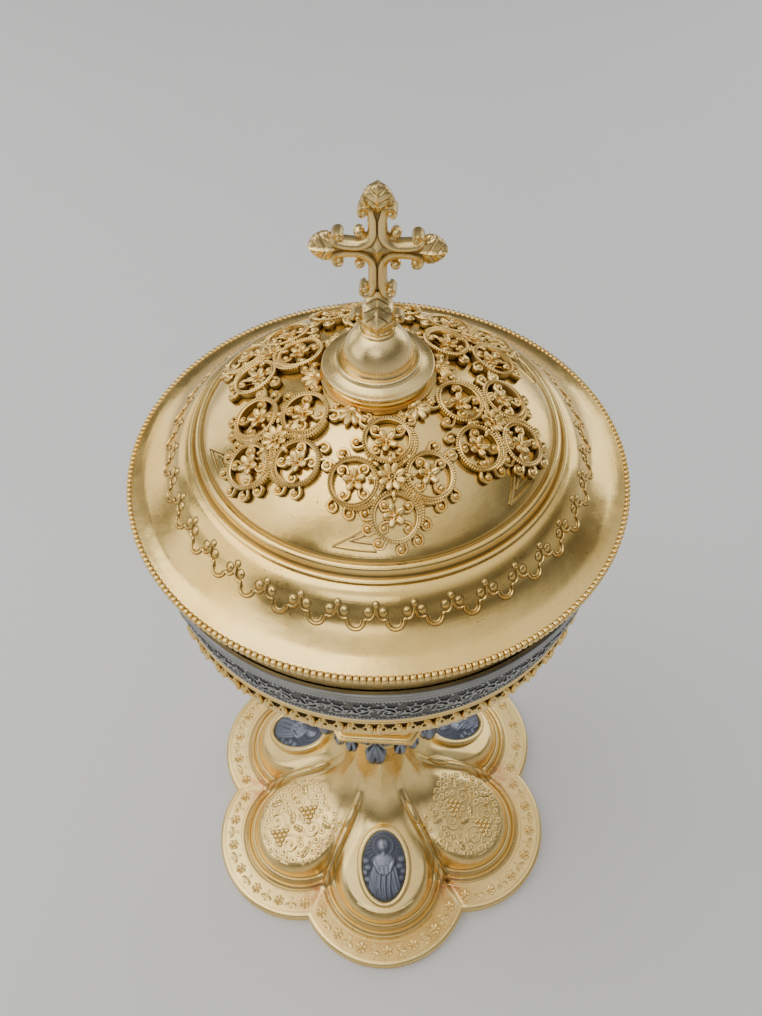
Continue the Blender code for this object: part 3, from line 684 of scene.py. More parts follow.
def cross_rail(arms):
    """The C-shaped rail in one corner of the cross, with its ball and volutes, in the plane XY."""
    b = Build()
    middle, bend, eye, size = 0.93, 3.15, 2.5, 1.22
    fillet = middle + bend - bend * polar(1.0, np.linspace(0.0, math.pi / 2, 9))[:, :2]
    spiral = np.linspace(0.15, 1.5 * math.pi, 13)
    curled = polar(size * (1 - 0.125 * spiral), spiral)[:, :2] * (-1, 1)
    halves = []
    for arm in arms:
        side = [(curled + (eye, arm + 0.45))[::-1], [(middle + 0.1, arm - 0.6), (middle, arm - 1.7)]]
        if arm > 8.0:
            side.append([(middle, arm - 3.0)])
        halves.append(np.vstack(side + [fillet[:5]]))
    path = curve_through(np.vstack([halves[1], halves[0][-2::-1, ::-1]]), 3)
    width = np.ones(len(path))
    edge = len(spiral) * 3
    width[:edge] = np.linspace(0.35, 0.92, edge)
    width[-edge:] = width[edge - 1 :: -1]
    b.rail(at_height(path, 0.0), width, RAIL_SECTION)
    for x, y in ((eye, arms[1] + 0.45), (arms[0] + 0.45, eye)):
        b.ball((x, y, 0.0), (0.95, 0.95, HALF_DEPTH), 10, 16, depth=0.0)
    b.ball((3.5, 3.5, 0.0), (1.1, 1.1, 1.45), 10, 16, depth=0.0)
    b.tube([(2.3, 2.3, 0.0), (3.4, 3.4, 0.0)], 0.6, 8, tall=1.7, depth=(0.4, 0.4))
    return b


LEAF = np.array([(0.0, 0.55), (0.06, 0.74), (0.16, 0.93), (0.28, 1.0), (0.36, 0.94), (0.41, 0.84), (0.47, 0.93),
                 (0.60, 0.97), (0.70, 0.88), (0.75, 0.74), (0.81, 0.72), (0.88, 0.54), (0.95, 0.26), (1.0, 0.02)])


def leaf(base, tip, half_width, veins, lift, both=False):
    """A leaf along +X from base to tip: notched edges, a sharp mid rib and sunk veins, on one face or both."""
    share, across = np.linspace(0.0, 1.0, 44)[:, None], np.linspace(-1.0, 1.0, 25)[None, :]
    x = base + (tip - base) * share + np.zeros_like(across)
    y = half_width * np.interp(share, *LEAF.T) * across
    rib = bell(across, 0.09) * 0.30
    roof = (1 - np.abs(across) ** 1.5) ** 0.7
    wave = (share * veins - np.abs(across) * 0.75) * TAU
    vein = -0.22 * np.clip(np.cos(wave), 0.0, 1.0) ** 4 * (1 - rib * 3)
    swell = 0.62 + 0.38 * np.sin(math.pi * np.clip(share * 0.9 + 0.08, 0, 1))
    height = lift * swell * (0.35 + 0.65 * roof) + (rib + vein * roof**0.5) * swell * lift
    # painted shade in the sunk veins and towards the edges
    shade_amount = np.clip(-vein * 3.2 + 0.25 * np.abs(across) ** 6, 0.0, 0.8)
    top = np.stack([x, y, height], -1)
    foot = top.copy()
    foot[:, :, 2] = -height if both else -0.1
    sheet = np.concatenate([top, foot[:, ::-1]], 1)
    b = Build()
    b.grid(sheet, depth=np.concatenate([shade_amount, shade_amount[:, ::-1]], 1))
    for row in (0, -1):
        b.cap(sheet[row], 0.3)
    return b


def cross_foot():
    """The long leaf on the cross's foot, along +X, with its volutes."""
    foot = Build()
    stalk = curve_through([(9.2, 0.8), (10.2, 1.2), (11.2, 2.3), (12.0, 2.6), (12.8, 2.4), (13.6, 3.1), (14.3, 3.2),
                           (15.3, 2.75), (16.6, 1.3), (17.7, 0.06)], 4)
    cut = np.array([(0.0, 0.0), (0.08, 0.28), (0.35, 0.45), (0.7, 0.75), (0.93, 1.2), (1.0, 2.4)])

    def ridge(x):
        return HALF_DEPTH + 0.1 + 2.7 * smooth_step(10.2, 17.0, x)

    rows = []
    for x, half in stalk:
        side = [(half * share, ridge(x) - drop) for share, drop in cut[::-1]]
        ring = side + [(-y, z) for y, z in side[-2::-1]]
        ring += [(y, -z) for y, z in ring[-2:0:-1]]
        rows.append([(x, y, z) for y, z in ring])
    foot.grid(np.array(rows), depth=0.0)
    t = np.linspace(0.0, 1.0, 7)
    sweep = np.linspace(2.9, 2.9 - 1.5 * math.pi, 11)
    for side in (1, -1):
        for start in (10.8, 12.4, 14.0):
            x = start + 1.5 * t
            share = 0.1 + 0.75 * t
            y = side * np.interp(x, *stalk.T) * share
            # fine vein grooves, painted dark as shade
            foot.tube(np.stack([x, y, ridge(x) - np.interp(share, *cut.T)], 1), 0.17, 6, depth=(0.9, 0.9))
        eddy = (16.1, 4.0) - 1.15 * polar(1.0, sweep)[:, :2]
        path = curve_through(np.vstack([[(17.2, 1.8), (17.4, 3.0)], eddy]) * (1, side), 3)
        foot.rail(at_height(path, 0.5), np.linspace(0.75, 0.4, len(path)),
                  [(0.8, -1.0), (0.8, 1.0), (0.0, 1.3), (-0.8, 1.0), (-0.8, -1.0), (0.0, -1.3)])
        foot.ball((16.1, side * 4.0, 0.5), (0.85, 0.85, 1.5), 10, 16, depth=0.0)
    return foot


def make_cross():
    flat = Build()
    for across in (1, -1):
        for up, arm in ((1, 7.4), (-1, 8.7)):
            flat.join(cross_rail((6.9, arm)), lambda points: points * (across, up, 1.0))
    # core behind the rails, painted dark as shade, and the four-pointed star in the middle, painted darker at its
    # outer ring
    flank = HALF_DEPTH - 0.6
    bar = [(0.95, -flank), (0.95, flank), (-0.95, flank), (-0.95, -flank)]
    for line in (((9.3, 0, 0), (-9.3, 0, 0)), ((0, 9.3, 0), (0, -17.0, 0))):
        flat.tube(line, 1.0, depth=(0.9, 0.9), section=bar)
    square = [(2.2, 2.2), (2.2, -2.2), (-2.2, -2.2), (-2.2, 2.2)]
    flat.tube([(0, 0, 0), (0, 0, 0.01)], 1.0, depth=(0.6, 0.6), up=(0, 1, 0), section=square)
    star = polar(np.tile((3.7, 2.3, 1.75, 1.6, 1.75, 2.3), 4), around(24))
    steps = ((1.0, 0.8), (0.5, 0.35), (0.01, -0.1))  # each ring's size, and how far it is below the face
    for face in (1, -1):
        rows = [star * (size, size, 1) + (0, 0, face * (HALF_DEPTH - low)) for size, low in steps]
        flat.grid(np.array(rows), depth=np.array([[0.3], [0.0], [0.0]]))
    # leaves at the ends, each between two smaller ones
    for quarter, tip in enumerate((CROSS_HALF_WIDTH, CROSS_TOP_Z - CROSS_Z - 0.9, CROSS_HALF_WIDTH)):
        end = leaf(7.7, tip, 2.75, 3, 1.5, both=True)
        for side in (1, -1):
            end.join(leaf(0.0, 2.9, 1.05, 2, 1.0, both=True), turned_by(side * 0.5, (tip - 5.0, side * 1.35)))
        flat.join(end, turned_by(quarter * math.pi / 2))
    flat.join(cross_foot(), turned_by(-math.pi / 2))
    upright = math.radians(CROSS_TURN)
    b = Build()
    b.join(flat, lambda points: points[:, [0, 2, 1]] * (1, -1, 1) @ spin(upright).T + (0.0, 0.0, CROSS_Z))
    block = [(0.02, 249.75), (3.45, 249.75), (3.5, 250.1), (3.35, 250.3), (3.55, 250.8), (3.9, 252.2), (3.85, 252.5),
             (3.2, 253.2), (1.9, 254.2), (0.02, 254.4)]

    def eight_sided(radius, angle, height):
        off = (angle - upright + math.pi / 8) % (math.pi / 4) - math.pi / 8
        return radius * np.where(height > 250.25, math.cos(math.pi / 8) / np.cos(off), 0.99)

    b.turned(block, 64, 0.0, eight_sided)
    b.piece("cross_work", SATIN, "lid", ["cross"], 35.0)


# ---------------------------------------------------------------- bowl


def make_bowl():
    outer = arc((0.0, BOWL_Z), BOWL_RADIUS, 0.0, -81.5, 40)
    inner = arc((0.0, BOWL_Z), BOWL_RADIUS - BOWL_WALL, -89.9, 0.0, 40)
    top = RIM_Z - 1.2
    lip = [(55.2, top - 0.3), (55.5, top), (57.0, top), (57.4, top - 0.2), (57.6, top - 0.7),
           (57.3, top - 1.3), (56.8, top - 1.8), (56.6, top - 2.6)]
    boss = [(8.6, 141.2), (7.7, 139.6), (7.6, 136.2), (7.3, 135.9), (0.05, 135.9)]
    outline = [(0.05, 142.1)] + inner + lip + outer + boss
    # painted shadow on the lip and the top of the outside, under the lid's rim
    depth = [0.72 if z > 200.0 and r > 55.8 else 0.0 for r, z in outline]
    turned_piece("bowl_cup", POLISHED, "cup", outline, 240, depth)


def band_radius(z):
    return np.interp(z, [181.0, 187.0, 193.0, 197.3], [55.3, 56.5, 57.25, 57.5])


# the band's section: height, how far it is sunk, and its painted shade; the sunk ground is dark partly from the
# silver's own darkening and partly as painted shade
BAND_STEPS = [(181.0, 0.0, 0.1), (181.5, 0.0, 0.1), (181.7, 0.25, 0.9), (184.5, 0.25, 0.9), (189.0, 0.25, 0.9),
              (193.4, 0.25, 0.9), (193.7, 0.1, 0.8), (193.8, 0.0, 0.2), (194.4, 0.0, 0.25), (194.6, 0.1, 0.8),
              (194.8, 0.0, 0.3), (195.3, 0.0, 0.2), (195.45, 0.1, 0.7), (195.6, 0.0, 0.2), (196.2, 0.0, 0.3),
              (196.35, 0.1, 0.8), (196.5, 0.0, 0.3), (197.1, 0.0, 0.2), (197.3, 0.25, 0.6)]
BAND_REPEATS = 30
BAND_PERIOD = TAU * 57.0 / BAND_REPEATS
SCROLL_Z, SCROLL_STRETCH = 187.6, 1.3


def band_scroll():
    """One repeat of the band's scrollwork, flat: a wave, two leafy spirals and beads along both edges."""
    one = Build()
    x = np.linspace(0, BAND_PERIOD, 25)
    one.tube(np.stack([x, 1.5 * np.sin(TAU * x / BAND_PERIOD), 0 * x], 1), 0.24, 6, depth=0.7)
    turns = np.linspace(0.0, 3.3 * math.pi, 30)
    for side, start in ((1, 0.25), (-1, 0.75)):
        centre = np.array([BAND_PERIOD * (start + 0.22), side * -0.55, 0.0])
        spiral = centre + polar(2.45 * (1 - turns / (3.9 * math.pi)), turns) * (-1, side * 1.15, 1)
        one.tube(spiral, np.linspace(0.24, 0.15, 30), 6, depth=0.7)
        one.ball(centre + (0.1, 0, 0), (0.5, 0.5, 0.3), 6, 8)
        for a in 0.5 + 0.85 * np.arange(7):
            out = polar(1.0, a) * (-1, side, 1)
            at = centre + out * (1, 1.15, 1) * 2.5 * (1 - a / 12.3) + out * 0.55
            one.ball(at, (0.62, 0.27, 0.24), 5, 8, math.atan2(out[1], out[0]), depth=0.5)
        for x, y in ((0.02, 3.6), (0.12, 3.75), (0.42, 3.8)):
            one.ball((BAND_PERIOD * (start + x), side * y * 0.98, 0.0), (0.42, 0.3, 0.22), 5, 8)
    for i in range(14):
        for y in (4.35, -4.45):
            one.ball((BAND_PERIOD * i / 14, y, -0.05), (0.25, 0.2, 0.2), 5, 6)
    return one


def make_band():
    """Darkened silver band: a plain edge at the top, and running scrollwork on a sunk ground."""
    b = Build()
    outer = [(float(band_radius(z)) - sink, z) for z, sink, depth in BAND_STEPS]
    inner = [(math.sqrt((BOWL_RADIUS + 0.25) ** 2 - (z - BOWL_Z) ** 2), z) for z in (197.3, 189.2, 181.0)]
    b.turned(outer + inner, 288, [depth for z, sink, depth in BAND_STEPS] + [0.6] * 3)

    def wrap(points, number):
        x, y, lift = points.T
        z = SCROLL_Z + SCROLL_STRETCH * y
        return polar(band_radius(z) - 0.16 + lift, (x / BAND_PERIOD + number) * TAU / BAND_REPEATS, z)

    b.repeat(band_scroll(), BAND_REPEATS, wrap)
    b.piece("bowl_band_work", BAND_SILVER, "cup", ["bowl_band"])


GALLERY_REPEATS, GALLERY_PERIOD = 50, 7.16
GALLERY = [(55.1, 180.95), (55.3, 180.85), (55.4, 180.5), (55.35, 180.1), (55.1, 179.7), (55.3, 179.2),
           (55.2, 178.7), (54.7, 178.1), (54.2, 176.4), (54.4, 175.0), (54.9, 174.4), (55.0, 173.9),
           (54.9, 173.4), (54.55, 172.9), (54.6, 172.3), (54.5, 171.6), (54.1, 170.9), (53.4, 170.3),
           (52.4, 169.9), (51.5, 169.8), (50.4, 170.4), (52.2, 175.0), (53.6, 179.2)]


def make_gallery():
    """Cast gallery under the band: a ledge, pairs of buds over gaps painted dark as shade, and plain mouldings."""
    b = Build()
    # painted shade in the gaps between the buds and in three grooves
    sunk = {(r, z): 1.0 for r, z in GALLERY if 174.9 < z < 178.2 and r > 53}
    sunk.update({(55.1, 179.7): 0.6, (55.2, 178.7): 0.6, (54.55, 172.9): 0.6})
    b.turned(GALLERY, 288, shaded(GALLERY, sunk))
    one = Build()
    t = np.linspace(-2.4, 2.2, 9)
    for side in (1, -1):
        x = side * 1.12
        one.ball((x, 0.0, 0.75), (0.8, 1.4, 0.95), 9, 12, depth=0.3)
        one.ball((x + side * 0.75, 0.8, 0.5), (0.55, 0.7, 0.7), 7, 10, depth=0.5)
        one.ball((x - side * 0.1, -1.25, 0.95), (0.62, 0.55, 0.6), 7, 10, depth=0.5)
        hook = (2.3, -0.35, 0.75) + polar(1.0, t) * (0.55, 0.75, 1.0)
        one.tube(hook * (side, 1, 1), 0.22, 6, depth=0.7)
    one.ball((0.0, -0.9, 0.5), (0.4, 0.5, 0.5), 7, 10, depth=0.7)
    one.tube(circle(0.42, 14) + (3.58, -0.5, 0.85), 0.22, 6, closed=True, depth=0.7)
    one.ball((3.58, -0.5, 0.7), (0.3, 0.3, 0.25), 6, 8, depth=0.4)

    def wrap(points, number):
        x, y, lift = points.T
        return polar(54.2 + lift * 1.05, (x / GALLERY_PERIOD + number) * TAU / GALLERY_REPEATS, 176.2 + y * 1.4)

    b.repeat(one, GALLERY_REPEATS, wrap)
    b.piece("bowl_gallery_work", CAST, "cup", ["bowl_gallery"])


# ---------------------------------------------------------------- foot

# height of a lobe along its middle, by distance from the axis
LOBE_PROFILE = curve_through(
    [(7.6, FOOT_TOP_Z), (8.3, 55.5), (9.35, 46.0), (11.25, 37.0), (15.4, 29.5), (23.2, 22.8), (36.8, 16.4),
     (46.6, 13.0), (52.0, 11.3), (58.0, 9.6)], 10
)
# height of the border, by distance in from the outline
BORDER = np.array(
    [(0.0, 3.9), (0.25, 4.55), (0.8, 5.0), (1.5, 5.05), (9.6, 5.05), (10.0, 4.85), (10.4, 4.95), (10.8, 5.6),
     (11.3, 5.9), (11.8, 5.7), (12.2, 5.35), (12.5, 5.5), (12.9, 6.3), (13.4, 6.7), (13.9, 6.6), (14.2, 6.7),
     (14.5, 7.3)]
)
# painted shade in the border's grooves, by distance in from the outline
BORDER_SHADE = {14.2: 0.8, 13.9: 0.5, 12.5: 0.5, 12.2: 0.7, 10.4: 0.5, 10.0: 0.7}
BORDER_Z, FIELD_EDGE, FIELD_EDGE_Z = 5.05, 14.5, 7.3
# height of the sharp rib between two lobes, by distance from the axis
RIB = np.array([(9.0, 47.5), (12.0, 36.0), (15.4, 30.6), (20.0, 26.7), (25.0, 24.0), (30.0, 21.6), (35.0, 18.6),
                (38.0, 16.2), (41.5, 13.0), (45.0, 9.2), (47.4, 5.6), (47.9, 5.0)])
PIN_HOLE = (-59.4, 48.4)  # azimuth and radius of the small hole at one meeting of two lobes
PIN_RADIUS, PIN_DEPTH = 1.25, 1.3
FIELD_RADIUS = 38.6  # distance of the middle of a lobe's field from the axis


def lobe_off(angle):
    sector = TAU / LOBES
    return (angle + math.pi / 2 + sector / 2) % sector - sector / 2


def offset_radius(angle, inward=0.0):
    """Radius of the curve that runs a given distance inside the outline."""
    off = lobe_off(angle)
    return LOBE_CENTRE * np.cos(off) + np.sqrt((LOBE_RADIUS - inward) ** 2 - (LOBE_CENTRE * np.sin(off)) ** 2)


def neck_radius(angle):
    return NECK_APOTHEM / np.cos(lobe_off(angle))


def lobe_edge(angle, radius):
    """Distance in from the edge of the lobe's raised part, and distances beside and along the line between lobes."""
    off = np.abs(lobe_off(angle))
    beside = radius * np.sin(math.pi / LOBES - off)
    along = radius * np.cos(math.pi / LOBES - off)
    reach = np.sqrt(radius**2 + LOBE_CENTRE**2 - 2 * radius * LOBE_CENTRE * np.cos(off))
    gap = LOBE_RADIUS - FIELD_EDGE - LOBE_CENTRE * math.sin(math.pi / LOBES)
    on_flank = along < LOBE_CENTRE * math.cos(math.pi / LOBES)
    return np.where(on_flank, beside + gap, LOBE_RADIUS - FIELD_EDGE - reach), beside, along


def foot_height(x, y, plain=False):
    """Height of the top of the foot over a point of its plan."""
    angle, radius = np.arctan2(y, x), np.hypot(x, y)
    inner = neck_radius(angle)
    edge, beside, along = lobe_edge(angle, radius)
    level = radius - (inner - NECK_APOTHEM) * smooth_step(20.0, 9.5, radius)
    # each face of the neck folds into a ridge that runs down into its lobe
    fold = smooth_step(NECK_APOTHEM, 16.0, radius) * smooth_step(28.0, 17.0, radius)
    aside = np.sqrt(lobe_off(angle) ** 2 + 0.0004) / (math.pi / LOBES)
    level -= 4.0 * np.clip(1 - aside, 0.0, 1.0) * fold
    profile = np.interp(level, *LOBE_PROFILE.T)
    share = np.clip((radius - inner) / (56.3 - inner), 0.0, 1.0)
    profile += 1.3 * np.sin(math.pi * share) * smooth_step(1.0, 6.5, beside) * smooth_step(0.12, 0.45, share)
    roll = np.clip(1 - (1 - np.clip(edge / 3.9, 0.0, 1.0)) ** 2, 0.0, 1.0) ** 0.6
    field = profile - (profile - FIELD_EDGE_Z) * (1 - roll) * smooth_step(29.0, 38.5, along)
    height = np.where(edge > 0.0, field, np.interp(FIELD_EDGE + np.minimum(edge, 0.0), *BORDER.T))
    if plain:
        return height
    # a sharp rib between neighbouring lobes, over a wide one
    rib = np.interp(radius, *RIB.T, right=0.0)
    height += np.clip(rib - 1.6 - height, 0.0, None) * bell(beside, 2.9)
    return height + np.clip(rib - height, 0.0, None) * bell(beside, 1.25, 3)


def on_foot(points, azimuth, radius, plain=False):
    """Lays points made flat onto the foot: x across the lobe, y out from the axis, z off the surface."""
    x, y, lift = ((points[:, [1, 0, 2]] + (radius, 0.0, 0.0)) @ spin(math.radians(azimuth)).T).T
    step = 0.25
    slope_x, slope_y = (
        (foot_height(x + dx, y + dy, plain) - foot_height(x - dx, y - dy, plain)) / (2 * step)
        for dx, dy in ((step, 0.0), (0.0, step))
    )
    normal = unit(np.stack([-slope_x, -slope_y, np.ones(len(x))], 1))
    return np.stack([x, y, foot_height(x, y, plain)], 1) + normal * lift[:, None]


def copper_wear(points):
    """Where the gilding is worn to copper: the corners between lobes."""
    angle, radius = np.arctan2(points[:, 1], points[:, 0]), np.hypot(points[:, 0], points[:, 1])
    beside = radius * np.sin(math.pi / LOBES - np.abs(lobe_off(angle)))
    return bell(beside, 5.2) * bell(radius - 50.6, 3.3)


def make_foot_shell():
    steps = 720
    angle = around(steps)
    edge, inner = offset_radius(angle, FIELD_EDGE), neck_radius(angle)
    spans = (np.linspace(0.0, 0.1, 26), np.linspace(0.1, 0.94, 62)[1:], np.linspace(0.94, 0.9995, 12))
    rows, shades = [], []
    for share in np.concatenate(spans):
        row = polar(inner + (edge - inner) * share, angle)
        row[:, 2] = foot_height(row[:, 0], row[:, 1])
        rows.append(row)
        beside = lobe_edge(angle, inner + (edge - inner) * share)[1]
        # painted shade in the valley beside each rib
        shades.append(0.6 * bell(beside - 1.75, 0.5) * smooth_step(0.05, 0.3, share))
    border = list(BORDER[-2::-1, 0])
    border.insert(border.index(9.6) + 1, 9.0)
    for inward in border:
        row = polar(offset_radius(angle, inward), angle, np.interp(inward, *BORDER.T))
        if inward >= 9.5:
            row[:, 2] = foot_height(row[:, 0], row[:, 1])
        rows.append(row)
        shades.append(np.full(steps, BORDER_SHADE.get(inward, 0.0)))
    hole = polar(PIN_HOLE[1], math.radians(PIN_HOLE[0]))
    for row, shade in zip(rows, shades):
        near = bell(np.hypot(row[:, 0] - hole[0], row[:, 1] - hole[1]), PIN_RADIUS, 4)
        row[:, 2] -= PIN_DEPTH * near
        # painted shade in the pin hole
        shade += near * (1 - shade)
    for row in range(len(rows) - 1, -1, -3):
        under = rows[row].copy()
        reach = np.hypot(under[:, 0], under[:, 1])
        steep = reach < neck_radius(angle) + 6
        under[:, :2] *= np.where(steep, 1 - FOOT_WALL / reach, 1 - 0.3 / reach)[:, None]
        under[:, 2] -= 0.0 if steep.all() else FOOT_WALL
        rows.append(under)
        # painted shade on the underside
        shades.append(np.full(steps, 0.35))
    b = Build()
    b.grid(np.stack(rows), wrap_rows=True, depth=np.stack(shades))
    b.piece("foot_shell_work", RAISED, "cup", ["foot_shell"], wear=copper_wear)


def scroll(b, centre, size, turns, hand, start, thick):
    """A spiral stem that ends in a berry."""
    a = np.linspace(0.0, turns * TAU, int(20 * turns) + 4)
    path = polar(size * (1 - 0.82 * a / a[-1]), start + hand * a) + (*centre, 0.0)
    b.tube(path, np.linspace(thick, thick * 0.6, len(a)), 6, depth=0.6)
    b.ball(path[-1], (0.75, 0.75, 0.5), 6, 10, depth=0.6)


def berry(b, x, y, size, high=-0.05):
    """A small round boss with a dimple in it."""
    b.tube(circle(size * 0.64, 16) + (x, y, high), size * 0.38, 6, closed=True, tall=0.9, depth=0.5)
    b.ball((x, y, high), (size * 0.36, size * 0.36, size * 0.3), 5, 8, depth=(0.2, 0.6))


def vine_field(rng):
    """The ornament of one field, flat: scrolls, leaves and grapes, with berries crowding the ground between."""
    field = Build()
    for side in (1, -1):
        scroll(field, (side * 5.2, 6.8), 3.9, 1.5, side, math.radians(90 + side * 60), 0.5)
        scroll(field, (side * 5.6, -3.4), 3.5, 1.5, -side, math.radians(90 + side * 30), 0.5)
        for x, y, angle, size in ((11.4, 3.4, 1.2, 2.4), (2.2, 1.2, 2.6, 2.2), (8.6, -8.4, -0.5, 2.0)):
            turn = turned_by(angle if side > 0 else math.pi - angle, (side * x, y))
            field.join(leaf(-size, size, 1.25, 3, 0.6), turn)
    for top in (10.0, -3.4):
        for row in range(4):
            for i in range(4 - row):
                at = ((i - (3 - row) / 2) * 1.9, top - row * 1.6, 0.05)
                field.ball(at, (1.05, 1.05, 0.75), 7, 12, depth=0.6)
    taken = np.vstack(field.points)[::4, :2]
    placed = []
    for _ in range(2600):
        x, y = rng.uniform(-16.5, 16.5), rng.uniform(-13.5, 15.5)
        edge = lobe_edge(math.atan2(y + FIELD_RADIUS, x), math.hypot(x, y + FIELD_RADIUS))[0]
        crowded = np.min(np.hypot(taken[:, 0] - x, taken[:, 1] - y)) < 0.95
        if edge < 3.4 or crowded or any(math.hypot(x - px, y - py) < 2.25 for px, py in placed):
            continue
        placed.append((x, y))
        berry(field, x, y, rng.uniform(1.05, 1.5), rng.uniform(-0.05, 0.2))
    return field


def border_flowers():
    """The border of one lobe, flat: small flowers, with a berry between two sprays from one to the next."""
    border = Build()
    for i in range(13):
        a = math.radians(90 + (i - 6) * 10.2)
        at = polar(LOBE_RADIUS - 5.2, a)[:2] + (0.0, LOBE_CENTRE)
        if i % 2 == 0:
            flower(border, at, 6, 0.35, 2.1, -0.16, 0.74, 0.5, turn=a)
            continue
        for side in (1, -1):
            border.join(leaf(0.6, 2.6, 0.8, 2, 0.3), turned_by(a + side * 1.15, at))
            berry(border, *(at + side * 1.7 * polar(1.0, a)[:2]), 0.7)
        berry(border, *at, 0.8)
    return border


def make_foot_relief():
    """Chased ornament: vine scrolls and berries on three fields, and small flowers round the border."""
    b = Build()
    rng = np.random.default_rng(7)
    for azimuth in (-150.0, -30.0, 90.0):
        b.join(vine_field(rng), lambda points: on_foot(points, azimuth, FIELD_RADIUS))
    b.repeat(border_flowers(), LOBES, lambda points, i: on_foot(points, -90.0 + LOBE_STEP * i, 0.0, True))
    angle = around(720)
    for inward in (1.9, 8.5):
        line = polar(offset_radius(angle, inward), angle, BORDER_Z)
        b.tube(line, 0.16, 5, closed=True, depth=(0.1, 0.6))
    # a leaf-shaped drop at the head of each rib
    drop = Build()
    drop.ball((0.0, 0.0, 1.9), (1.7, 4.4, 1.7), 12, 16, depth=0.6)
    b.repeat(drop, LOBES, lambda points, i: on_foot(points, LOBE_STEP * (i - 1), 23.0, True))
    b.piece("foot_relief", RAISED, "cup", [], 60.0)


def make_foot_base_band():
    """The lobed band under the border. Each row is its distance in from the outline, its height and its painted
    shade.
    """
    b = Build()
    section = [(0.35, 0.0, 0.0), (0.2, 0.25, 0.0), (0.25, 0.7, 0.0), (0.7, 1.15, 0.2), (0.85, 1.7, 0.4),
               (0.55, 2.1, 0.2), (0.3, 2.4, 0.0), (0.5, 2.6, 0.0), (3.2, 2.6, 0.0), (3.4, 2.4, 0.3),
               (3.4, 0.2, 0.3), (3.2, 0.0, 0.0)]
    angle = around(540)
    rows = [polar(offset_radius(angle) - inward, angle, z) for inward, z, depth in section]
    b.grid(np.stack(rows), wrap_rows=True, depth=np.array(section)[:, 2:])
    b.piece("foot_base_band_work", RAISED, "cup", ["foot_base_band"])


# ---------------------------------------------------------------- medallions


def lump(x, y, centre, size, height, soft=0.35, turn=0.0):
    """A rounded swelling over an ellipse."""
    c, s = math.cos(turn), math.sin(turn)
    dx, dy = x - centre[0], y - centre[1]
    u, v = (dx * c + dy * s) / size[0], (-dx * s + dy * c) / size[1]
    return height * np.clip(1 - (u * u + v * v), 0.0, 1.0) ** soft


def pair(x, y, centre, size, height, soft=0.35, turn=0.0):
    """The same swelling on the right and, mirrored, on the left."""
    return np.maximum(*(lump(side * x, y, centre, size, height, soft, turn) for side in (-1, 1)))


CLOUDS = ((7.0, 2.2, 1.6), (6.2, -0.3, 1.5), (7.6, -2.2, 1.4), (6.6, -4.6, 1.5), (5.6, -8.0, 1.4))


def figure_height(x, y):
    """A standing robed figure of the builder's own design, with a halo, rays and clouds, in low relief."""
    robe = np.maximum(lump(x, y, (0.0, -4.8), (4.6, 9.6), 1.1, 0.45), lump(x, y, (0.0, 1.6), (4.1, 3.4), 1.15, 0.5))
    folds = 0.22 * np.cos(x * 3.1 + 0.5 * np.sin(y * 0.6)) * smooth_step(0.3, 0.9, robe) * smooth_step(2.0, -2.0, y)
    cloak = pair(x, y, (3.7, -5.4), (2.3, 7.6), 0.95, 0.45, 0.18)
    cloak = cloak + 0.14 * np.cos(x * 4.4 + y * 0.9) * (cloak > 0.3)
    halo = np.hypot(x, y - 7.4)
    bearing = np.arctan2(x, y - 7.4)
    rays = 0.20 * (0.5 + 0.5 * np.cos(bearing * 26)) * smooth_step(4.2, 4.8, halo) * smooth_step(8.0, 5.5, halo)
    rays = rays + 0.30 * bell(halo - 3.9, 0.3) + 0.12 * smooth_step(4.0, 3.6, halo)
    clouds = sum(
        lump(side * x, y, (cx, cy), (size, size * 0.75), 0.55, 0.5) for side in (1, -1) for cx, cy, size in CLOUDS
    )
    hair = lump(x, y, (0.0, 7.4), (2.25, 2.85), 1.2, 0.5)
    face = lump(x, y, (0.0, 7.0), (1.55, 2.2), 1.55, 0.5)
    eyes = -0.16 * (bell(x + 0.62, 0.34) + bell(x - 0.62, 0.34)) * bell(y - 7.25, 0.2)
    brow = 0.08 * (bell(x + 0.6, 0.45) + bell(x - 0.6, 0.45)) * bell(y - 7.65, 0.16)
    nose = 0.26 * bell(x, 0.2) * smooth_step(6.3, 6.6, y) * smooth_step(7.6, 7.0, y)
    mouth = -0.10 * bell(x, 0.5) * bell(y - 5.95, 0.11)
    neck = lump(x, y, (0.0, 4.7), (1.0, 1.6), 1.0, 0.5)
    arms = pair(x, y, (2.6, -0.6), (1.2, 3.6), 1.35, 0.5, -0.42)
    book = 1.55 * smooth_step(1.7, 1.45, np.abs(x)) * smooth_step(1.9, 1.65, np.abs(y + 1.3))
    book -= 0.2 * bell(x, 0.18) * (book > 0.5)
    hands = pair(x, y, (1.35, -2.3), (0.75, 0.6), 1.8)
    body = np.maximum.reduce([robe + folds, cloak, arms, book, hands, neck])
    head = np.maximum(hair + 0.05 * np.cos(np.arctan2(x, y - 7.2) * 22) * (hair > 0.2), face)
    head = head + (eyes + brow + nose + mouth) * (face > 0.3)
    return np.maximum(np.maximum(body, head), rays + clouds)


BEZEL_SECTION = [(0.55, -0.6), (0.55, 1.2), (0.35, 1.7), (-0.1, 2.0), (-0.8, 2.1), (-1.35, 2.05), (-1.6, 1.8),
                 (-1.65, 1.4), (-1.2, 0.2), (-1.2, -0.6)]


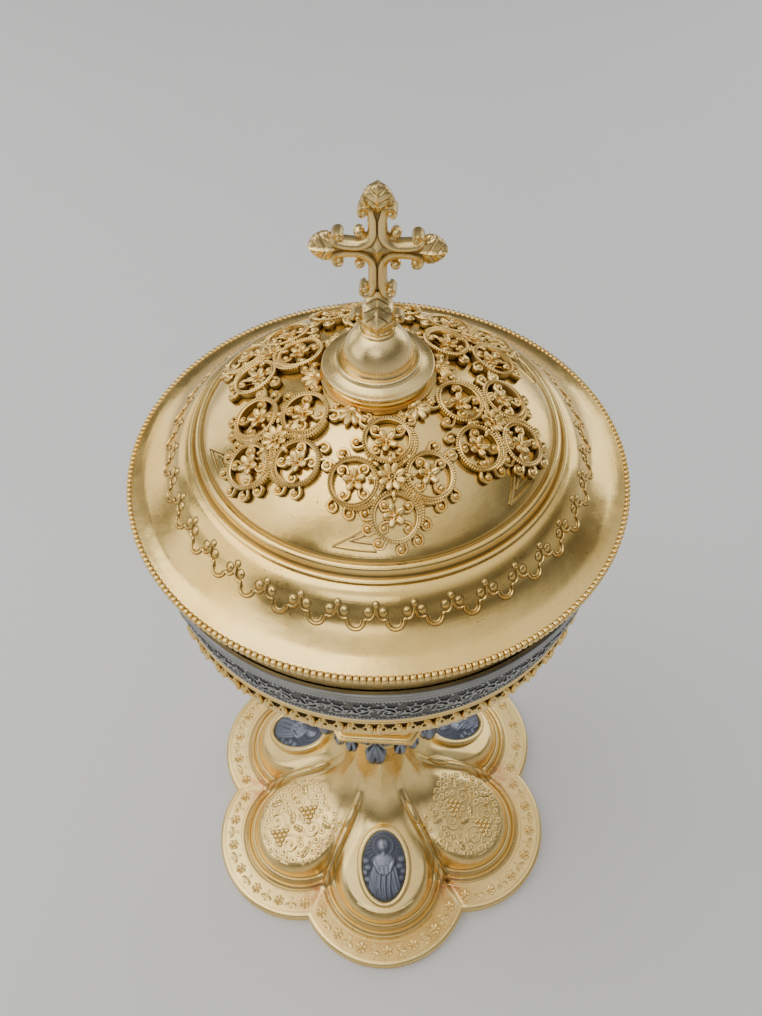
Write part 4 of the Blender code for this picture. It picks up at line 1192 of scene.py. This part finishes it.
def make_medallions():
    steps = 160
    rings = np.concatenate([[0.004], np.linspace(0.03, 1.0, 64)])[:, None]
    angle = around(steps)
    oval = polar(rings, angle) * (*MEDALLION_HALF, 1.0)
    relief = figure_height(oval[:, :, 0], oval[:, :, 1])
    edge = smooth_step(0.94, 0.84, rings)
    top = oval.copy()
    top[:, :, 2] = 1.45 + (relief * 0.62 + 0.6 * (1 - rings**2)) * edge
    top[:, :, 2] += 0.16 * (0.5 + 0.5 * np.cos(angle * 60)) * bell(rings - 0.885, 0.02)
    # painted shade on the ground round the figure, on low parts of its relief and on the disc's rim
    depth = np.clip(0.9 - relief * 0.9, 0.0, 0.9) * edge + 0.5 * (1 - edge)
    disc = Build()
    disc.grid(np.concatenate([top, oval[[-1, 0]]]), True, np.concatenate([depth, np.full((2, steps), 0.8)]))
    bezel = Build()
    path = circle(1.0, steps) * (*np.add(MEDALLION_HALF, 0.8), 1.0)
    bezel.tube(path, 1.0, closed=True, depth=0.7, section=BEZEL_SECTION)
    slope = Matrix.Rotation(math.radians(MEDALLION_SLOPE), 4, "X")
    seat = Matrix.Translation(Vector((0.0, -MEDALLION_RADIUS, MEDALLION_Z)) * MM) @ slope
    for place, azimuth in MEDALLION_LOBES.items():
        for made, stem, look, sharp in ((disc, "medallion", SLATE, 60.0), (bezel, "medallion_bezel", RAISED, 40.0)):
            node = f"{stem}_{place}"
            obj = made.piece(node + "_work", look, "cup", [node], sharp)
            obj.matrix_world = Matrix.Rotation(math.radians(azimuth + 90.0), 4, "Z") @ seat


# ---------------------------------------------------------------- stem and knop

KNOP_ANGLES = np.radians(-90.0 + LOBE_STEP * np.arange(LOBES) + KNOP_TURN)  # middles of its six sides
SIXTH = math.pi / 6


def six_sided(b, outline, depth=0.0):
    """A section turned with six flats; its radii reach to the corners, which are eased."""

    def radius_at(radius, angle, height):
        off = lobe_off(angle - math.radians(KNOP_TURN))
        return radius * np.minimum(math.cos(SIXTH) / np.cos(off), 1 - 0.021 * np.abs(off / SIXTH) ** 6)

    b.turned(outline, 144, depth, radius_at)


def ridges(b, outline, thick):
    """Rounded edges down the six corners, along an outline of (radius, height)."""
    for a in KNOP_ANGLES + SIXTH:
        b.tube(polar(outline[:, 0] * 0.985, a, outline[:, 1]), thick, 8, depth=0.5)


FOOT_COLLAR = [(ROD_BORE, 62.3), (9.0, 62.3), *arc((10.0, 63.0), 0.7, -90, 60, 5), (10.2, 63.9),
               *arc((10.7, 64.7), 0.75, -70, 90, 6), (9.8, 65.6), (9.0, 66.0), (ROD_BORE, 66.0)]
BOWL_COLLAR = [(ROD_BORE, 128.0), (9.4, 128.0), *arc((10.4, 128.9), 0.9, -70, 60, 6), (10.3, 129.9), (10.2, 130.4),
               (10.5, 131.3), (11.2, 132.0), (12.2, 132.4), *arc((12.6, 133.7), 1.15, -70, 75, 8), (12.2, 135.0),
               (9.5, 135.5), (8.2, 135.6), (ROD_BORE, 135.6)]


def make_collar(name, outline, steps, count, radius, z, size):
    """A turned collar with a ring of beads."""
    b = Build()
    b.turned(outline, steps)
    for angle in around(count):
        b.ball(polar(radius, angle, z), size, 6, 8)
    b.piece(name + "_work", RAISED, "cup", [name])


def make_stems():
    """The two six-sided stems, with a column of diamonds on each side."""
    for name, low, high in (("stem_lower", 66.3, 75.7), ("stem_upper", 108.3, 127.7)):
        b = Build()
        half = [(SHELL_BORE, low), (8.4, low), (8.4, low + 0.6), (8.0, low + 0.9)]
        outline = half + [(r, low + high - z) for r, z in half[::-1]]
        # painted shade at the inner corners of the steps
        six_sided(b, outline, [0, 0, 0, 0.5, 0.5, 0, 0, 0])
        panel = Build()
        tall = high - low - 3.2
        count = max(1, round(tall / 5.6))
        for i in range(count):
            y = low + 1.6 + tall * (i + 0.5) / count
            r = tall / count / 2 - 0.3
            corners = np.array([(0, y + r, 0.05), (2.6, y, 0.05), (0, y - r, 0.05), (-2.6, y, 0.05)])
            loop = [p * (1 - t) + q * t for p, q in zip(corners, np.roll(corners, -1, 0)) for t in (0.0, 0.34, 0.67)]
            panel.tube(loop, 0.2, 6, closed=True, depth=0.5)
            panel.ball((0.0, y, 0.0), (0.7, 0.7, 0.5), 6, 10)
        b.repeat(panel, LOBES, lambda points, i: (points[:, [2, 0, 1]] + (8.0 * math.cos(SIXTH), 0.0, 0.0))
                 @ spin(KNOP_ANGLES[i]).T)
        b.piece(name + "_work", RAISED, "cup", [name])


def make_knop():
    top = KNOP_Z + 2.4
    b = Build()
    plate = [(SHELL_BORE, top), (22.4, top), (23.2, top - 0.15), (23.6, top - 0.5), (23.3, top - 0.85),
             (23.5, top - 1.1), (24.2, top - 1.3), (24.4, top - 1.6), (24.1, KNOP_Z + 0.3), (23.2, KNOP_Z),
             (SHELL_BORE, KNOP_Z)]
    # painted shade in the plate's groove and on its underside; the beads below are painted darker as shade
    six_sided(b, plate, [0, 0, 0, 0, 0.7, 0.4, 0, 0, 0, 0.3, 0.3])
    corners = polar(23.95, KNOP_ANGLES - SIXTH, KNOP_Z + 0.45)
    for p, q in zip(corners, np.roll(corners, -1, 0)):
        for share in np.arange(24) / 24:
            b.ball(p * (1 - share) + q * share, 0.5, 7, 10, depth=0.8)
    b.piece("knop_plate_work", CAST, "cup", ["knop_plate"])
    foot = top + 0.3
    b = Build()
    upper = curve_through([(20.6, 96.6), (18.6, 97.2), (16.0, 98.3), (13.0, 100.4), (11.0, 103.2), (10.3, 105.8)], 5)
    outline = [(SHELL_BORE, 106.6), (SHELL_BORE, 108.0), (9.6, 108.0), (10.3, 107.7), (10.5, 107.2), (10.2, 106.6)]
    outline += [(9.8, 106.3)] + [tuple(p) for p in upper[::-1]]
    outline += [(21.2, 96.3), (21.4, 95.7), (21.0, 95.3), (21.7, 94.9), (21.9, foot + 0.4), (21.8, foot)]
    outline += [(20.4, foot), (18.4, 95.0), (14.6, 96.9), (9.4, 101.6)]
    # painted shade in two grooves
    six_sided(b, outline, shaded(outline, {(9.8, 106.3): 0.8, (21.0, 95.3): 0.8}))
    ornament = leaf(12.0, 19.4, 2.6, 3, 0.5)
    for side in (1, -1):
        ornament.join(leaf(0.0, 4.6, 1.4, 2, 0.4), turned_by(side * 0.75, (14.6, side * 0.9)))

    def lay(points, number):
        r, x, lift = points.T
        rise = np.interp(r / math.cos(SIXTH), *upper[::-1].T)
        return np.stack([r, x, rise + lift], 1) @ spin(KNOP_ANGLES[number]).T

    b.repeat(ornament, LOBES, lay)
    ridges(b, upper, 0.42)
    b.piece("knop_upper_work", RAISED, "cup", ["knop_upper"])
    b = Build()
    under = KNOP_Z - 0.3
    lower = curve_through([(20.4, 88.8), (17.4, 84.6), (13.2, 81.0), (10.6, 77.9)], 5)
    outline = [(SHELL_BORE, 77.4), (SHELL_BORE, 76.0), (9.6, 76.0), (10.3, 76.3), (10.4, 76.8), (10.0, 77.3)]
    outline += [(10.2, 77.6)] + [tuple(p) for p in lower[::-1]] + [(20.9, 89.2), (21.1, 90.2), (21.0, under)]
    outline += [(19.6, under), (19.2, 89.0), (16.2, 85.6), (11.8, 81.6), (9.0, 77.6)]
    six_sided(b, outline)
    ridges(b, lower, 0.4)
    b.piece("knop_lower_work", RAISED, "cup", ["knop_lower"])


def bud(size, at, ribs):
    """A fluted bud that tapers upwards, with a crease down its front."""
    b = Build()
    b.ball((0, 0, 0), (1.0, 1.0, 1.0), 20, 36, depth=0.0)
    points = b.points[0]
    angle = np.arctan2(points[:, 1], points[:, 0])
    low = np.clip((1 - points[:, 2]) / 2, 0, 1)
    crease = bell(angle + math.pi / 2, 0.2) * smooth_step(0.15, 0.5, low)
    rib = (0.5 + 0.5 * np.cos(angle * ribs + math.pi / 2)) ** 2
    taper = 1 - 0.5 * smooth_step(0.62, 0.0, low)
    points[:, :2] *= ((1 - 0.3 * crease - 0.12 * rib) * taper)[:, None]
    b.points[0] = points * size + at
    # painted shade in the crease and between the flutes
    b.depths[0] = np.clip(crease + 0.6 * rib, 0, 1)
    return b


def make_crockets():
    """Silver buds that hang from the knop's plate: a folded leaf, with a smaller tip on each side."""
    one = bud((4.0, 3.8, 6.8), (0.0, -20.5, 82.7), 7)
    stem = curve_through([(2.6, -20.4, 89.6), (4.4, -19.4, 88.0), (5.9, -19.0, 88.2), (7.6, -19.2, 89.6)], 5)
    for side in (1, -1):
        one.join(bud((2.4, 2.2, 4.4), (side * 8.2, -19.2, 85.2), 5))
        # stems and knots painted darker underneath as shade
        one.tube(stem * (side, 1, 1), 0.62, 8, depth=(0.2, 0.9))
        one.ball((side * 5.1, -19.2, 88.9), (1.6, 0.9, 1.2), 8, 12, depth=(0.5, 1.0))
    set_round(one.mesh("crocket"), "knop_crocket", SILVER, "cup", KNOP_TURN, 60.0)


def finish_fasteners():
    for name in ("tie_rod", "tie_washer", "tie_nut", "finial_stud", "finial_nut"):
        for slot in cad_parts[name].material_slots:
            slot.material = STEEL


# ---------------------------------------------------------------- stage

# the camera looks from a little left of the foot's front, and down on the lid
CAMERA_TURN, CAMERA_PITCH, CAMERA_YAW = -2.46, 51.04, 0.25
CAMERA_BACK, CAMERA_UP, CAMERA_LENS = 143.6, 367.4, 31.08
FLOOR_REACH = 3.0
# the tone of the surroundings by height, from below to overhead
SURROUNDINGS = ((0.14, 0.32), (0.32, 0.10), (0.60, 0.20), (0.80, 0.85))
WARM_LIGHT, COOL_LIGHT = (1.0, 0.98, 0.95), (0.97, 0.98, 1.0)
# each softbox: place, point that it faces, width, height, power and colour
SOFTBOXES = {
    "overhead": ((-0.48, 0.02, 1.25), (0.0, 0.0, 0.2), 0.95, 1.0, 6.5, WARM_LIGHT),
    "front": ((-0.25, -0.95, 1.05), (0.0, 0.0, 0.15), 0.7, 0.35, 1.5, WARM_LIGHT),
    "left": ((-1.05, -0.15, 0.62), (0.0, 0.0, 0.2), 0.9, 0.75, 3.0, WARM_LIGHT),
    "left_back": ((-0.80, 0.75, 0.45), (0.0, 0.0, 0.2), 0.6, 0.6, 1.5, WARM_LIGHT),
    "right": ((0.82, 0.70, 0.52), (0.0, 0.0, 0.2), 0.6, 0.7, 2.4, COOL_LIGHT),
}


def put(name, data):
    obj = bpy.data.objects.new(name, data)
    bpy.context.scene.collection.objects.link(obj)
    return obj


def make_camera():
    data = bpy.data.cameras.new("camera")
    data.lens, data.sensor_width = CAMERA_LENS, 36.0
    data.clip_start = 0.01
    camera = put("camera", data)
    place = Matrix.Translation(Vector((0.0, -CAMERA_BACK, CAMERA_UP)) * MM)
    turn, yaw = (Matrix.Rotation(math.radians(angle), 4, "Z") for angle in (CAMERA_TURN, -CAMERA_YAW))
    camera.matrix_world = turn @ place @ yaw @ Matrix.Rotation(math.radians(90.0 - CAMERA_PITCH), 4, "X")
    bpy.context.scene.camera = camera


def make_floor():
    mesh = bpy.data.meshes.new("floor")
    corners = [(x * FLOOR_REACH, y * FLOOR_REACH, 0) for x, y in ((-1, -1), (1, -1), (1, 1), (-1, 1))]
    mesh.from_pydata(corners, [], [(0, 1, 2, 3)])
    floor = put("floor", mesh)
    n = Nodes("pale_floor")
    tone = n.mix(n.noise(6.0, 3.0), (0.68, 0.68, 0.67, 1.0), (0.72, 0.72, 0.71, 1.0))
    n.feed(n.shader.inputs["Base Color"], tone)
    n.shader.inputs["Roughness"].default_value = 0.7
    mesh.materials.append(n.material)


def make_lights():
    world = bpy.data.worlds.new("studio")
    world.use_nodes = True
    bpy.context.scene.world = world
    tree = world.node_tree
    back = tree.nodes["Background"]
    coordinates, split, ramp = (
        tree.nodes.new("ShaderNode" + kind) for kind in ("TexCoord", "SeparateXYZ", "ValToRGB")
    )
    tree.links.new(coordinates.outputs["Generated"], split.inputs[0])
    tree.links.new(split.outputs["Z"], ramp.inputs[0])
    tree.links.new(ramp.outputs[0], back.inputs[0])
    ends = ramp.color_ramp.elements
    ends[0].color = (0.42, 0.42, 0.42, 1.0)
    ends[1].color = (1.15, 1.15, 1.15, 1.0)
    for height, tone in SURROUNDINGS:
        ends.new(height).color = (tone, tone, tone * 1.02, 1.0)
    back.inputs["Strength"].default_value = 1.0
    for name, (place, aim, width, height, power, colour) in SOFTBOXES.items():
        data = bpy.data.lights.new(name, "AREA")
        data.shape, data.size, data.size_y = "RECTANGLE", width, height
        data.energy, data.color = power, colour
        light = put(name, data)
        light.location = place
        light.rotation_mode = "QUATERNION"
        light.rotation_quaternion = (Vector(aim) - Vector(place)).to_track_quat("-Z", "Y")


make_camera()
make_panels()
make_palmettes()
make_lid_shell()
make_scallops()
make_lid_rings()
make_finial()
make_cross()
make_bowl()
make_band()
make_gallery()
make_foot_shell()
make_foot_relief()
make_foot_base_band()
make_medallions()
make_collar("stem_foot_collar", FOOT_COLLAR, 96, 48, 9.6, 65.75, 0.42)
make_stems()
make_collar("bowl_collar", BOWL_COLLAR, 112, 60, 10.9, 131.1, 0.5)
make_knop()
make_crockets()
finish_fasteners()
make_floor()
make_lights()
